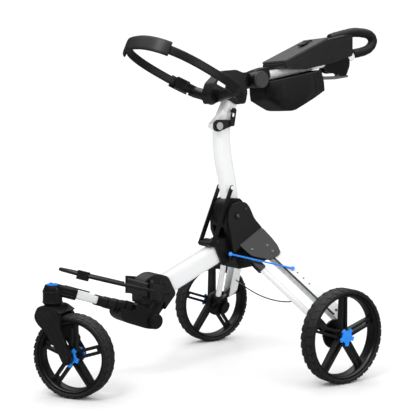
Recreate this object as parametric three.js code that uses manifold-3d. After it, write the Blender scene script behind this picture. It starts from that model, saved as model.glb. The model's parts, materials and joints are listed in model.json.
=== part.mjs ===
// Folding three-wheel golf push cart. Millimetres, +Z up, the cart's nose points along -Y.
import * as THREE from 'three';
import { mergeVertices } from 'three/addons/utils/BufferGeometryUtils.js';
import Module from 'manifold-3d';

const wasm = await Module();
wasm.setup();

// ---------------------------------------------------------------- driving dimensions
const DEG = Math.PI / 180;
const SEAT = 0.4; // gap between two pieces that are seated on each other
const RUN = 0.6; // gap between two pieces that move past each other
const ROUND = 14; // sides of a small round piece

const REAR_RADIUS = 146;
const FRONT_RADIUS = 120.7;
const TYRE_WIDTH = 55;
const TYRE_DEPTH = 15.6;
const RIM_DEPTH = 12;
const WHEEL_SIDES = 32;
const HALF_TRACK = 348.5;
const SPOKE_PAIRS = 5;
const SPOKE_GAP = 17; // between the middles of the two bars of a pair
const SPOKE_BAR = 9;
const AXLE_RADIUS = 6;

const SWIVEL_Y = -803; // upright swivel axis of the front fork
const TRAIL = 69;
const CASTER_YAW = -55.5 * DEG;
const FORK_GAP = 62;
const FORK_LEG = 13;
const HEAD_RADIUS = 28;
const HEAD_BOTTOM = 266;

const FRONT_HINGE = [-480, 188]; // y and z of the front arm's fold pin
const ARM_SLOPE = -18.2 * DEG;
const ARM_RISE = 17; // arm axis above the fold pin
const ARM_WIDTH = 30;
const ARM_HEIGHT = 24;
const SLEEVE_START = 71;
const SLEEVE_SEGMENT = 31;
const SLEEVE_TRAVEL = 25;

const MAIN_SLOPE = 24.5 * DEG;
const MAIN_MIDDLE = [-338, 330];
const MAIN_WIDTH = 44;
const MAIN_HEIGHT = 64;
const MAIN_FRONT = -118; // along the tube, from its middle
const MAIN_BACK = 168;
const COLLAR = [107, 156]; // the sliding collar's ends along the tube
const STRUT_FOOT = [98, 43]; // along and above the tube's axis
const STRUT_HALF_GAP = 35;
const STRUT_LENGTH = 192.6;
const STRUT_TILT = 68.4 * DEG;

const MAST_PIVOT = [-184, 499];
const MAST_WIDTH = 44;
const MAST_DEPTH = 50;
const HANDLE_HINGE = [-244, 783];
const LEVER_ELBOW = [-196, 793];
const LINK_TOP = [-190, 831];
const LINK_RUN = 14; // how far the link's slot lets its top pin travel
const COVER_INNER = 46;
const COVER_WALL = 6;

const LEG_PIVOT = [75, -81, 393]; // hub end of the left leg's channel
const LEG_ALONG = [0.6761, 0.3851, -0.6281];
const LEG_ACROSS = [0.0025, 0.8513, 0.5246];
const LEG_LENGTH = 318; // between the hub pivot and the wheel carrier's pivot
const LEG_SPREAD = 68; // between the channel and the round tube below it
const CHANNEL_DEPTH = 41;
const CHANNEL_WIDTH = 30;
const CHANNEL_WALL = 2.8;
const LEG_TUBE_RADIUS = 10;
const LUG = 10; // thickness of the plates that the legs turn on
const TIE_RADIUS = 2.8;
const TIE_LENGTH = 203;
const TIE_START = [-55.7, -116.4]; // in the leg's own plane
const TIE_PLANE = 19.6;
const CABLE_RADIUS = 2;

const ANGLE_PIVOT = [-97, 933];
const JOINT_RADIUS = 27;
const STEM_SLOPE = 12.5 * DEG;
const STEM_RADIUS = 15;
const STEM_END = 450; // where the grip starts
const STEM_LIFT = 2; // stem axis above the angle pivot, at the pivot
const CONSOLE_HALF = 62;
const BAG_HALF = 66;
const BAG_WALL = 3;
const GRIP_RADIUS = 16.5;

const STRAP_CENTRE = [-355.6, 946.4];
const STRAP_TILT = -23.7 * DEG;
const STRAP_HALF_WIDTH = 134;
const STRAP_HALF_LENGTH = 186.7;
const STRAP_SQUARE = 0.807; // 1 is an ellipse, less is squarer
const STRAP_OPEN = 50 * DEG; // half the angle between the strap's two ends, at the back
const STRAP_HEIGHT = 28;
const STRAP_THICK = 6;
const PAD_HEIGHT = 46;
const PAD_THICK = 7;

const LOWER_TILT = -15.8 * DEG;
const LOWER_HALF = 92;
const LOWER_ORIGIN = [-512, 289];
const LOWER_REACH = 262;
const LOWER_RADIUS = 5.5;

// ---------------------------------------------------------------- materials
const paint = (color, roughness, metalness) => new THREE.MeshStandardMaterial({ color, roughness, metalness });
const white = paint(0xf2f2f0, 0.3, 0.1);
const black = paint(0x1b1b1c, 0.6, 0);
const charcoal = paint(0x3a3a3b, 0.55, 0);
const grey = paint(0x6b6b6c, 0.5, 0);
const blue = paint(0x1e88e8, 0.35, 0);
const rubber = paint(0x151515, 0.85, 0);
const fabric = paint(0x181818, 0.95, 0);
const silver = paint(0xc9cbcd, 0.35, 0.8);

// ---------------------------------------------------------------- solids
function signedVolume(geometry) {
  const corner = geometry.attributes.position;
  const index = geometry.index;
  const a = new THREE.Vector3();
  const b = new THREE.Vector3();
  const c = new THREE.Vector3();
  let volume = 0;
  for (let i = 0; i < index.count; i += 3) {
    a.fromBufferAttribute(corner, index.getX(i));
    b.fromBufferAttribute(corner, index.getX(i + 1));
    c.fromBufferAttribute(corner, index.getX(i + 2));
    volume += a.dot(b.cross(c)) / 6;
  }
  return volume;
}

function flipped(geometry) {
  const index = geometry.index;
  for (let i = 0; i < index.count; i += 3) {
    const first = index.getX(i);
    index.setX(i, index.getX(i + 1));
    index.setX(i + 1, first);
  }
  return geometry;
}

// one closed shell: shared corners, no slivers, faces pointing out
function closed(source) {
  const bare = source.clone();
  bare.deleteAttribute('normal');
  bare.deleteAttribute('uv');
  const merged = mergeVertices(bare, 1e-3);
  const kept = [];
  for (let i = 0; i < merged.index.count; i += 3) {
    const triangle = [merged.index.getX(i), merged.index.getX(i + 1), merged.index.getX(i + 2)];
    if (new Set(triangle).size === 3) {
      kept.push(...triangle);
    }
  }
  merged.setIndex(kept);
  return signedVolume(merged) < 0 ? flipped(merged) : merged;
}

function solid(geometry) {
  const shell = closed(geometry);
  return new wasm.Manifold(new wasm.Mesh({
    numProp: 3,
    vertProperties: new Float32Array(shell.attributes.position.array),
    triVerts: new Uint32Array(shell.index.array),
  }));
}

function geometryOf(body) {
  const mesh = body.getMesh();
  const geometry = new THREE.BufferGeometry();
  geometry.setAttribute('position', new THREE.BufferAttribute(mesh.vertProperties, 3));
  geometry.setIndex(new THREE.BufferAttribute(mesh.triVerts, 1));
  return geometry;
}

function fused(...geometries) {
  return geometryOf(geometries.map(solid).reduce((whole, next) => whole.add(next)));
}

function carved(geometry, ...tools) {
  return geometryOf(tools.map(solid).reduce((whole, tool) => whole.subtract(tool), solid(geometry)));
}

function mirrored(geometry) {
  const copy = closed(geometry);
  copy.scale(-1, 1, 1);
  return flipped(copy);
}

// ---------------------------------------------------------------- shapes
const frameOf = (slope, y, z) => new THREE.Matrix4().makeRotationX(slope).setPosition(0, y, z);
const SIDE_VIEW = new THREE.Matrix4().makeBasis(
  new THREE.Vector3(0, 1, 0), new THREE.Vector3(0, 0, 1), new THREE.Vector3(1, 0, 0));

function box(x, y, z) {
  const geometry = new THREE.BoxGeometry(x[1] - x[0], y[1] - y[0], z[1] - z[0]);
  return geometry.translate((x[0] + x[1]) / 2, (y[0] + y[1]) / 2, (z[0] + z[1]) / 2);
}

// a straight round bar between two points
function bar(from, to, radius, sides = ROUND) {
  const start = new THREE.Vector3(...from);
  const along = new THREE.Vector3(...to).sub(start);
  const geometry = new THREE.CylinderGeometry(radius, radius, along.length(), sides);
  const turn = new THREE.Quaternion().setFromUnitVectors(new THREE.Vector3(0, 1, 0), along.clone().normalize());
  return geometry.applyQuaternion(turn).translate(...start.addScaledVector(along, 0.5).toArray());
}

// a polygon with its corners rounded off
function outline(points, radius = 0, steps = 1) {
  const shape = new THREE.Shape();
  const corners = points.map((point) => new THREE.Vector2(...point));
  corners.forEach((corner, i) => {
    const before = corners[(i + corners.length - 1) % corners.length];
    const after = corners[(i + 1) % corners.length];
    const reach = Math.min(radius, corner.distanceTo(before) * 0.45, corner.distanceTo(after) * 0.45);
    const enter = corner.clone().lerp(before, reach / corner.distanceTo(before));
    const leave = corner.clone().lerp(after, reach / corner.distanceTo(after));
    if (i === 0) {
      shape.moveTo(enter.x, enter.y);
    } else {
      shape.lineTo(enter.x, enter.y);
    }
    for (let step = 1; step <= steps && reach > 0; step += 1) {
      const t = step / steps;
      const bend = enter.clone().lerp(corner, t).lerp(corner.clone().lerp(leave, t), t);
      shape.lineTo(bend.x, bend.y);
    }
  });
  shape.closePath();
  return shape;
}

function slab(points, low, high, radius = 0, steps = 1) {
  const geometry = new THREE.ExtrudeGeometry(outline(points, radius, steps), {
    depth: high - low, bevelEnabled: false, curveSegments: 6,
  });
  return geometry.translate(0, 0, low);
}

// a side outline, given as y and z, as wide as from low to high along X
const sideSlab = (points, low, high, radius, steps) => slab(points, low, high, radius, steps).applyMatrix4(SIDE_VIEW);

function roundedBox(width, height, radius) {
  const x = width / 2;
  const y = height / 2;
  return outline([[-x, -y], [x, -y], [x, y], [-x, y]], radius, 3);
}

function circle(radius, sides) {
  const points = [];
  for (let i = 0; i < sides; i += 1) {
    const angle = (i * 2 * Math.PI) / sides;
    points.push([radius * Math.cos(angle), radius * Math.sin(angle)]);
  }
  return outline(points);
}

// a section swept along a path through points given as x, y, z
function sweep(points, section, steps) {
  const path = new THREE.CatmullRomCurve3(points.map((point) => new THREE.Vector3(...point)), false, 'centripetal');
  return new THREE.ExtrudeGeometry(section, { steps, extrudePath: path, bevelEnabled: false });
}

const upright = (points) => points.map(([y, z]) => [0, y, z]);

// a body of revolution about X; its profile is a list of radius and x
function turned(profile, sides) {
  const points = profile.map(([radius, x]) => new THREE.Vector2(radius, x));
  points.push(points[0].clone());
  return new THREE.LatheGeometry(points, sides).rotateZ(-Math.PI / 2);
}

// ---------------------------------------------------------------- assembly
const cart = new THREE.Group();
cart.name = 'golf_push_cart';

function add(name, geometry, material, parent = cart) {
  const shell = closed(geometry);
  shell.computeVertexNormals();
  const mesh = new THREE.Mesh(shell, material);
  mesh.name = name;
  parent.add(mesh);
  return mesh;
}

function addPair(name, geometry, material) {
  add(`${name}_left`, geometry, material);
  add(`${name}_right`, mirrored(geometry), material);
}

// ---------------------------------------------------------------- wheels
// turned so that a flat of the many-sided ring lies on the ground, and grown so that the flat is at full radius
function standing(ring) {
  const grow = 1 / Math.cos(Math.PI / WHEEL_SIDES);
  return ring.scale(1, grow, grow).rotateX(Math.PI / WHEEL_SIDES);
}

function tyre(radius) {
  const half = TYRE_WIDTH / 2;
  const inner = radius - TYRE_DEPTH;
  return standing(turned([
    [inner, -half + 6], [inner + 4, -half + 1], [radius - 6, -half], [radius, -half + 12],
    [radius, half - 12], [radius - 6, half], [inner + 4, half - 1], [inner, half - 6],
  ], WHEEL_SIDES));
}

function rim(radius, hubRadius, hubInner, hubOuter, bore) {
  const outer = radius - TYRE_DEPTH - SEAT;
  const inner = outer - RIM_DEPTH;
  const half = TYRE_WIDTH / 2 - 7;
  const pieces = [
    standing(turned([[inner, -half + 4], [outer, -half], [outer, half], [inner, half - 4]], WHEEL_SIDES)),
    bar([hubInner, 0, 0], [hubOuter, 0, 0], hubRadius, ROUND),
  ];
  for (let i = 0; i < SPOKE_PAIRS; i += 1) {
    for (const side of [-1, 1]) {
      const middle = (side * SPOKE_GAP) / 2;
      const reach = Math.sqrt(inner * inner - middle * middle) + 2;
      const spoke = box([-8, 10], [middle - SPOKE_BAR / 2, middle + SPOKE_BAR / 2], [hubRadius * 0.5, reach]);
      pieces.push(spoke.rotateX((i * 2 * Math.PI) / SPOKE_PAIRS));
    }
  }
  return carved(fused(...pieces), bar([hubInner - 5, 0, 0], [hubOuter + 5, 0, 0], bore, ROUND));
}

function clawCap(radius, thickness) {
  const claw = (i) => box([0, thickness], [-6, 6], [0, radius * 1.75]).rotateX(((i + 0.5) * 2 * Math.PI) / SPOKE_PAIRS);
  return fused(bar([0, 0, 0], [thickness, 0, 0], radius, ROUND), ...[0, 1, 2, 3, 4].map(claw));
}

function addRearWheels() {
  const place = (geometry) => geometry.translate(HALF_TRACK, 0, REAR_RADIUS);
  addPair('rear_tyre', place(tyre(REAR_RADIUS)), rubber);
  addPair('rear_rim', place(rim(REAR_RADIUS, 21, -24, 17, AXLE_RADIUS + SEAT)), black);
  addPair('hub_cap', place(clawCap(16, 7).translate(20.4, 0, 0)), blue);
}

// ---------------------------------------------------------------- rear legs, built in the leg's own plane
const along = new THREE.Vector3(...LEG_ALONG).normalize();
const across = new THREE.Vector3(...LEG_ACROSS);
across.addScaledVector(along, -across.dot(along)).normalize();
const legFrame = new THREE.Matrix4().makeBasis(along, across, along.clone().cross(across));
legFrame.setPosition(...LEG_PIVOT);
const inLeg = (geometry) => geometry.applyMatrix4(legFrame);
const wheelInLeg = new THREE.Vector3(HALF_TRACK, 0, REAR_RADIUS).applyMatrix4(legFrame.clone().invert());

function pinAt(u, v, radius, half) {
  return bar([u, v, -half], [u, v, half], radius, 14);
}

function legChannel() {
  const depth = CHANNEL_DEPTH / 2;
  const half = CHANNEL_WIDTH / 2;
  const outer = slab([[-13, -depth + 8], [-5, -depth], [LEG_LENGTH + 5, -depth], [LEG_LENGTH + 12, -depth + 8],
    [LEG_LENGTH + 12, depth - 9], [LEG_LENGTH + 4, depth], [-5, depth], [-13, depth - 8]], -half, half);
  const inside = box([-40, LEG_LENGTH + 40], [-depth - 9, depth - CHANNEL_WALL],
    [-half + CHANNEL_WALL, half - CHANNEL_WALL]);
  const hubSlot = box([-40, 0], [-60, 60], [-half + CHANNEL_WALL, half - CHANNEL_WALL]);
  const holes = [0, 1, 2].map((i) => pinAt(130 + i * 26, 3, 3.2, 40));
  return fused(carved(outer, inside, hubSlot, ...holes), pinAt(0, 0, 5, half), pinAt(LEG_LENGTH, 0, 5, half));
}

function legTube() {
  const v = -LEG_SPREAD;
  return bar([42, v, 0], [LEG_LENGTH - 42, v, 0], LEG_TUBE_RADIUS, 16);
}

// a black fork-ended socket at each end of the round tube; open says that its pin is left out
function legSocket(end, direction, open) {
  const v = -LEG_SPREAD;
  const body = slab([[end - direction * 11, v - 8], [end + direction * 20, v - 12.5], [end + direction * 48, v - 12.5],
    [end + direction * 48, v + 12.5], [end + direction * 20, v + 12.5], [end - direction * 11, v + 8]], -11.4, 11.4, 4);
  const slot = box([Math.min(end - direction * 30, end + direction * 17), Math.max(end - direction * 30, end + direction * 17)],
    [v - 30, v + 30], [-LUG / 2 - RUN, LUG / 2 + RUN]);
  const seat = bar([end + direction * 40, v, 0], [end + direction * 60, v, 0], LEG_TUBE_RADIUS + SEAT, 16);
  const socket = carved(body, slot, seat);
  return open ? socket : fused(socket, pinAt(end, v, 4, 9));
}

// plate on the hub that both tubes of a leg turn on
function hubLug() {
  const plate = slab([[-80, 12], [-15, 13], [-9, 12.5], [8, 8], [11, 0], [9, -9], [-4, -24], [-5, -44], [9, -60],
    [10, -70], [6, -77], [-14, -79], [-80, -62]], -LUG / 2, LUG / 2, 3);
  return inLeg(carved(plate, pinAt(0, 0, 5 + RUN, 20), pinAt(0, -LEG_SPREAD, 4 + RUN, 20)));
}

// plate and brake housing that carry the wheel
function wheelCarrier() {
  const plate = slab([[-10, 3], [-6, 9.5], [2, 10.5], [12, 2], [22, -28], [44, -52], [34, -92], [10, -92],
    [2, -79], [-7, -76], [-10.4, -66], [-6, -59], [4, -57], [9, -50], [3, -24], [-7, -8]], -LUG / 2, LUG / 2, 2);
  plate.translate(LEG_LENGTH, 0, 0);
  const lug = inLeg(carved(plate, pinAt(LEG_LENGTH, 0, 5 + RUN, 20)));
  const face = HALF_TRACK - TYRE_WIDTH / 2 - 2.5;
  const housing = turned([[0, face - 11], [40, face - 11], [46, face - 7], [46, face], [0, face]], 24);
  const axle = bar([face - 4, 0, 0], [HALF_TRACK + 15, 0, 0], AXLE_RADIUS, ROUND);
  const pad = sideSlab([[2, -44], [30, -36], [44, -8], [30, 6], [8, -12]], face - 26, face - 2, 6);
  return fused(lug, housing.translate(0, 0, REAR_RADIUS), axle.translate(0, 0, REAR_RADIUS),
    pad.translate(0, 0, REAR_RADIUS));
}

function tieRod() {
  const [u, v] = TIE_START;
  const angle = 34.9 * DEG;
  const end = [u + TIE_LENGTH * Math.cos(angle), v + TIE_LENGTH * Math.sin(angle)];
  return inLeg(fused(
    bar([u, v, TIE_PLANE], [...end, TIE_PLANE], TIE_RADIUS, 10),
    bar([u, v, TIE_PLANE - 3], [u, v, TIE_PLANE + 3], 6, 14),
    bar([...end, TIE_PLANE - 3], [...end, TIE_PLANE + 3], 6, 14)));
}

function addLegs() {
  addPair('leg_channel', inLeg(legChannel()), white);
  addPair('leg_tube', inLeg(legTube()), white);
  addPair('leg_hub_socket', inLeg(legSocket(0, 1, false)), black);
  addPair('leg_wheel_socket', inLeg(legSocket(LEG_LENGTH, -1, true)), black);
  addPair('wheel_carrier', wheelCarrier(), black);
  addPair('tie_rod', tieRod(), blue);
  const cable = sweep([[184, -66.5, 239.9], [168, -59, 229], [90, -48, 219], [-10, -28, 216], [-110, -4, 221],
    [-200, 20, 231], [-217.2, 12.6, 241.2]], circle(CABLE_RADIUS, 8), 20);
  add('brake_cable', cable, black);
}

// ---------------------------------------------------------------- main tube, hub and fold mechanism
const mainFrame = frameOf(MAIN_SLOPE, ...MAIN_MIDDLE);
const inMain = (geometry) => geometry.applyMatrix4(mainFrame);

function mainTube(grow = 0, from = MAIN_FRONT, to = MAIN_BACK) {
  const section = roundedBox(MAIN_WIDTH + 2 * grow, MAIN_HEIGHT + 2 * grow, 16 + grow);
  const geometry = new THREE.ExtrudeGeometry(section, { depth: to - from, bevelEnabled: false });
  // the section's own Y is the tube's height; its extrusion runs back along the tube
  return inMain(geometry.translate(0, 0, from).applyMatrix4(new THREE.Matrix4().makeBasis(
    new THREE.Vector3(-1, 0, 0), new THREE.Vector3(0, 0, 1), new THREE.Vector3(0, 1, 0))));
}

function collar() {
  const [front, back] = COLLAR;
  const tall = MAIN_HEIGHT / 2 + 7;
  const wide = MAIN_WIDTH / 2 + 8;
  const body = sideSlab([[front, -tall], [back, -tall], [back, tall], [front, tall]], -wide, wide, 4);
  const horn = sideSlab([[front - 17, STRUT_FOOT[1] - 8], [front + 14, tall - 4], [front + 14, STRUT_FOOT[1] + 8],
    [front - 17, STRUT_FOOT[1] + 8]], -STRUT_HALF_GAP + 8, STRUT_HALF_GAP - 8, 3);
  const pin = bar([-STRUT_HALF_GAP - 7, ...STRUT_FOOT], [STRUT_HALF_GAP + 7, ...STRUT_FOOT], 5, 14);
  const block = fused(body, horn, pin);
  const lugStart = new THREE.Vector3(...TIE_START, TIE_PLANE - 3.6).applyMatrix4(legFrame);
  const lugEnd = new THREE.Vector3(...TIE_START, TIE_PLANE - 34).applyMatrix4(legFrame);
  const lug = bar(lugEnd.toArray(), lugStart.toArray(), 7, 14);
  return carved(fused(inMain(block), lug, mirrored(lug)), mainTube(RUN, -300, 300));
}

function strut(side) {
  const [t, h] = STRUT_FOOT;
  const foot = new THREE.Vector3(0, t, h).applyMatrix4(mainFrame);
  const x = side * STRUT_HALF_GAP;
  const top = [foot.y + STRUT_LENGTH * Math.cos(STRUT_TILT), foot.z + STRUT_LENGTH * Math.sin(STRUT_TILT)];
  const shape = [[-8, -7], [STRUT_LENGTH + 8, -6], [STRUT_LENGTH + 8, 6], [-8, 7]];
  const blade = sideSlab(shape, x - 3, x + 3, 5);
  const turn = new THREE.Matrix4().makeRotationX(STRUT_TILT).setPosition(0, foot.y, foot.z);
  return carved(blade.applyMatrix4(turn), bar([x - 9, foot.y, foot.z], [x + 9, foot.y, foot.z], 5 + RUN, 14),
    bar([x - 9, ...top], [x + 9, ...top], 4, 12));
}

function hubHousing() {
  const core = sideSlab([[-206, 322], [-229, 396], [-214, 426], [-150, 430], [-84, 452], [-52, 440], [-28, 392], [-36, 352],
    [-110, 330]], -38, 38, 8);
  const cheeks = sideSlab([[-214, 400], [-222, 470], [-216, 520], [-196, 540], [-150, 536], [-120, 500], [-84, 452],
    [-90, 400]], -COVER_INNER + SEAT, COVER_INNER - SEAT, 10);
  const mastRoom = box([-30, 30], [-400, 100], [430, 700]);
  const latchRoom = sideSlab([[-121, 443], [-60, 443], [-60, 520], [-121, 520]], -13, 13);
  const lug = hubLug();
  const collarRoom = inMain(box([-70, 70], [0, COLLAR[1] + 1], [-90, 60]));
  const pivot = bar([-80, ...MAST_PIVOT], [80, ...MAST_PIVOT], 7 + SEAT, ROUND);
  return carved(fused(core, cheeks, lug, mirrored(lug)), mastRoom, latchRoom, collarRoom, pivot, mainTube(SEAT));
}

// side cover: a flat upper panel and a lower panel that leans out over the leg's pivot
function hubCover() {
  const upper = sideSlab([[-168, 545], [-198, 539], [-216, 515], [-219, 482], [-206, 430], [-196, 380], [-84, 436],
    [-82, 455], [-116, 489], [-133, 522], [-148, 540]], COVER_INNER, COVER_INNER + COVER_WALL, 8, 2);
  const bottom = CHANNEL_WIDTH / 2 + 1.4;
  const lower = slab([[-88, -66], [-66, -72], [-40, -72], [-5, -70], [43, -33], [49, 9], [24, 22], [-11, 28],
    [-58, 31], [-74, -8]], bottom, bottom + COVER_WALL, 6);
  return carved(fused(upper, inLeg(lower)), inLeg(box([-300, 300], [-300, 300], [-90, bottom])),
    box([-10, COVER_INNER], [-300, 100], [300, 600]), bar([0, ...MAST_PIVOT], [90, ...MAST_PIVOT], 7 + SEAT, ROUND));
}

function addHub() {
  add('main_tube', mainTube(), white);
  add('sliding_collar', collar(), black);
  add('strut_left', strut(1), black);
  add('strut_right', strut(-1), black);
  add('hub_housing', hubHousing(), black);
  addPair('hub_cover', hubCover(), charcoal);
  const end = COVER_INNER + COVER_WALL;
  add('mast_pivot_bolt', fused(bar([-end - 4, ...MAST_PIVOT], [end + 4, ...MAST_PIVOT], 7, ROUND),
    bar([end + SEAT, ...MAST_PIVOT], [end + 4.4, ...MAST_PIVOT], 10, ROUND),
    bar([-end - 4.4, ...MAST_PIVOT], [-end - SEAT, ...MAST_PIVOT], 10, ROUND)), black);
  const ribs = [0, 1, 2, 3].map((i) => box([-11, 11], [-110 + i * 9, -105 + i * 9], [460, 482 - i * 4]));
  add('fold_latch', fused(sideSlab([[-117, 446], [-70, 446], [-70, 462], [-100, 478], [-117, 478]], -12, 12, 4),
    ...ribs), black);
}

// ---------------------------------------------------------------- bag bracket and lower strap
const lowerFrame = frameOf(LOWER_TILT, ...LOWER_ORIGIN);

function lowerLoop(radius, sides) {
  const half = LOWER_HALF;
  const reach = -LOWER_REACH;
  const points = [[half - 4, -6, 0], [half + 10, -70, 0], [half + 14, -140, 0], [half - 4, reach + 48, 0],
    [half - 48, reach + 8, 0], [0, reach, 0], [-half + 48, reach + 8, 0], [-half + 4, reach + 48, 0],
    [-half - 14, -140, 0], [-half - 10, -70, 0], [-half + 4, -6, 0]];
  return sweep(points, circle(radius, sides), 32);
}

function bagBracket() {
  const [y, z] = FRONT_HINGE;
  const body = sideSlab([[-512, 316], [-484, 330], [-462, 331], [-430, 321], [-400, 265], [-452, 206], [-462, 192], [-470, 172],
    [-490, 168], [-502, 186], [-500, 204], [-520, 234], [-522, 262]], -32, 32, 6);
  const band = [];
  const centre = -604;
  for (const [radius, order] of [[112, 1], [120, -1]]) {
    for (let i = -5; i <= 5; i += 1) {
      const angle = order * i * 8.4 * DEG;
      band.push([radius * Math.sin(angle), centre + radius * Math.cos(angle)]);
    }
  }
  const saddle = slab(band, 262, 316);
  const ears = sideSlab([[-522, 266], [-470, 248], [-470, 300], [-522, 312]], -60, 60, 4);
  const cheekRoom = (side) => sideSlab([[-560, 140], [-440, 140], [-440, 243], [-560, 243]], Math.min(side * 19, side * 60),
    Math.max(side * 19, side * 60));
  const pin = bar([-60, y, z], [60, y, z], 8 + SEAT, ROUND);
  const loopRoom = sweep([[LOWER_HALF - 4, -6, 0], [LOWER_HALF + 10, -70, 0]], circle(LOWER_RADIUS + SEAT, 10), 2);
  loopRoom.applyMatrix4(lowerFrame);
  return carved(fused(body, saddle, ears), cheekRoom(1), cheekRoom(-1), pin, mainTube(SEAT, MAIN_FRONT - 0.4),
    loopRoom, mirrored(loopRoom));
}

function addLowerStrap() {
  add('bag_bracket', bagBracket(), charcoal);
  add('lower_strap', lowerLoop(LOWER_RADIUS, 8).applyMatrix4(lowerFrame), rubber);
  // the clip sits on the loop's left front corner, turned along the cord there
  const clip = box([-16, 16], [-9.5, 9.5], [-14, 12]).rotateZ(42.3 * DEG).translate(LOWER_HALF - 24, 26 - LOWER_REACH, 0);
  add('lower_strap_clip', carved(clip, lowerLoop(LOWER_RADIUS + SEAT, 8)).applyMatrix4(lowerFrame), black);
}

// ---------------------------------------------------------------- front arm, fork and front wheel
const armFrame = frameOf(ARM_SLOPE, FRONT_HINGE[0], FRONT_HINGE[1] + ARM_RISE);
const inArm = (geometry) => geometry.applyMatrix4(armFrame);

// a rounded bar along the arm, between two distances forward of the fold pin
function armBar(width, height, radius, from, to) {
  const geometry = new THREE.ExtrudeGeometry(roundedBox(width, height, radius), { depth: to - from, bevelEnabled: false });
  return inArm(geometry.translate(0, 0, from).applyMatrix4(new THREE.Matrix4().makeBasis(
    new THREE.Vector3(1, 0, 0), new THREE.Vector3(0, 0, 1), new THREE.Vector3(0, -1, 0))));
}

function armSleeve() {
  const segments = [0, 1, 2, 3].map((i) => armBar(45 - i * 2, 40 - i * 3, 11, SLEEVE_START + i * SLEEVE_SEGMENT,
    SLEEVE_START + (i + 1) * SLEEVE_SEGMENT - 3));
  const core = armBar(36, 28.4, 9, SLEEVE_START, SLEEVE_START + 4 * SLEEVE_SEGMENT);
  return carved(fused(core, ...segments), armBar(ARM_WIDTH + 2 * RUN, ARM_HEIGHT + 2 * RUN, 7.4, 0, 400));
}

function frontKnuckle() {
  const [y, z] = FRONT_HINGE;
  const body = sideSlab([[-598, 232], [-592, 238], [-549, 224], [-545, 250], [-500, 230], [-462, 209], [-456, 188], [-466, 168],
    [-482, 163], [-510, 168], [-580, 194], [-598, 210]], -36, 36, 6);
  const boss = bar([-44, y, z], [44, y, z], 24, 24);
  const tongue = sideSlab([[-530, 120], [-430, 120], [-430, 330], [-508, 330], [-530, 260]], -19.8 - RUN, 19.8 + RUN);
  const room = armBar(45 + 2 * RUN, 40 + 2 * RUN, 11, SLEEVE_START - RUN, 400);
  return carved(fused(body, boss), tongue, room, bar([-60, y, z], [60, y, z], 8 + SEAT, ROUND),
    armBar(ARM_WIDTH + 2 * SEAT, ARM_HEIGHT + 2 * SEAT, 7, 52, 500));
}

function steeringHead() {
  const profile = [[0, 0], [HEAD_RADIUS - 3, 0], [HEAD_RADIUS, 4], [HEAD_RADIUS, 40], [22, 54], [22, 56], [0, 56]];
  const points = profile.map(([radius, z]) => new THREE.Vector2(radius, z));
  const head = new THREE.LatheGeometry(points, 28).rotateX(Math.PI / 2).translate(0, SWIVEL_Y, HEAD_BOTTOM);
  const neck = armBar(38, 34, 8, 268, 330);
  const rib = (i) => armBar(42, 5, 2, 282 + i, 320).applyMatrix4(new THREE.Matrix4().makeTranslation(0, 0, -10 + i * 10));
  const strip = armBar(16, 4, 1, SLEEVE_START + 4 * SLEEVE_SEGMENT + SLEEVE_TRAVEL + 3, 300);
  strip.translate(0, 5, 16);
  const bolt = bar([0, -764, 290], [0, -760, 312], 7, 14);
  return carved(fused(head, neck, rib(0), rib(1), rib(2), strip, bolt),
    armBar(ARM_WIDTH + 2 * SEAT, ARM_HEIGHT + 2 * SEAT, 7, 100, 306 + SEAT),
    bar([0, SWIVEL_Y, 0], [0, SWIVEL_Y, HEAD_BOTTOM + 30], 9 + RUN, ROUND),
    bar([0, SWIVEL_Y, HEAD_BOTTOM + 49], [0, SWIVEL_Y, 400], 18 + RUN, ROUND));
}

function fork() {
  const inner = FORK_GAP / 2;
  const crown = sideSlab([[-34, 232], [-30, 252], [-20, 265], [20, 265], [34, 258], [52, 247], [34, 247], [-12, 247]],
    -inner - FORK_LEG, inner + FORK_LEG, 4);
  const legs = [-1, 1].map((side) => sideSlab([[-30, 252], [34, 252], [48, 240], [50, 206], [66, 160], [TRAIL + 16, FRONT_RADIUS + 12],
    [TRAIL + 17, FRONT_RADIUS - 8], [TRAIL + 4, FRONT_RADIUS - 20], [TRAIL - 12, FRONT_RADIUS - 15], [TRAIL - 26, FRONT_RADIUS + 12],
    [2, 190], [-26, 214], [-36, 232]], Math.min(side * inner, side * (inner + FORK_LEG)),
  Math.max(side * inner, side * (inner + FORK_LEG)), 5));
  const wheelRoom = bar([-inner, TRAIL, FRONT_RADIUS], [inner, TRAIL, FRONT_RADIUS], FRONT_RADIUS + 5, WHEEL_SIDES);
  const stem = bar([0, 0, 250], [0, 0, HEAD_BOTTOM + 29], 9, ROUND);
  const axleHole = bar([-80, TRAIL, FRONT_RADIUS], [80, TRAIL, FRONT_RADIUS], AXLE_RADIUS + SEAT, ROUND);
  return carved(fused(carved(fused(crown, ...legs), wheelRoom), stem), axleHole);
}

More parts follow.
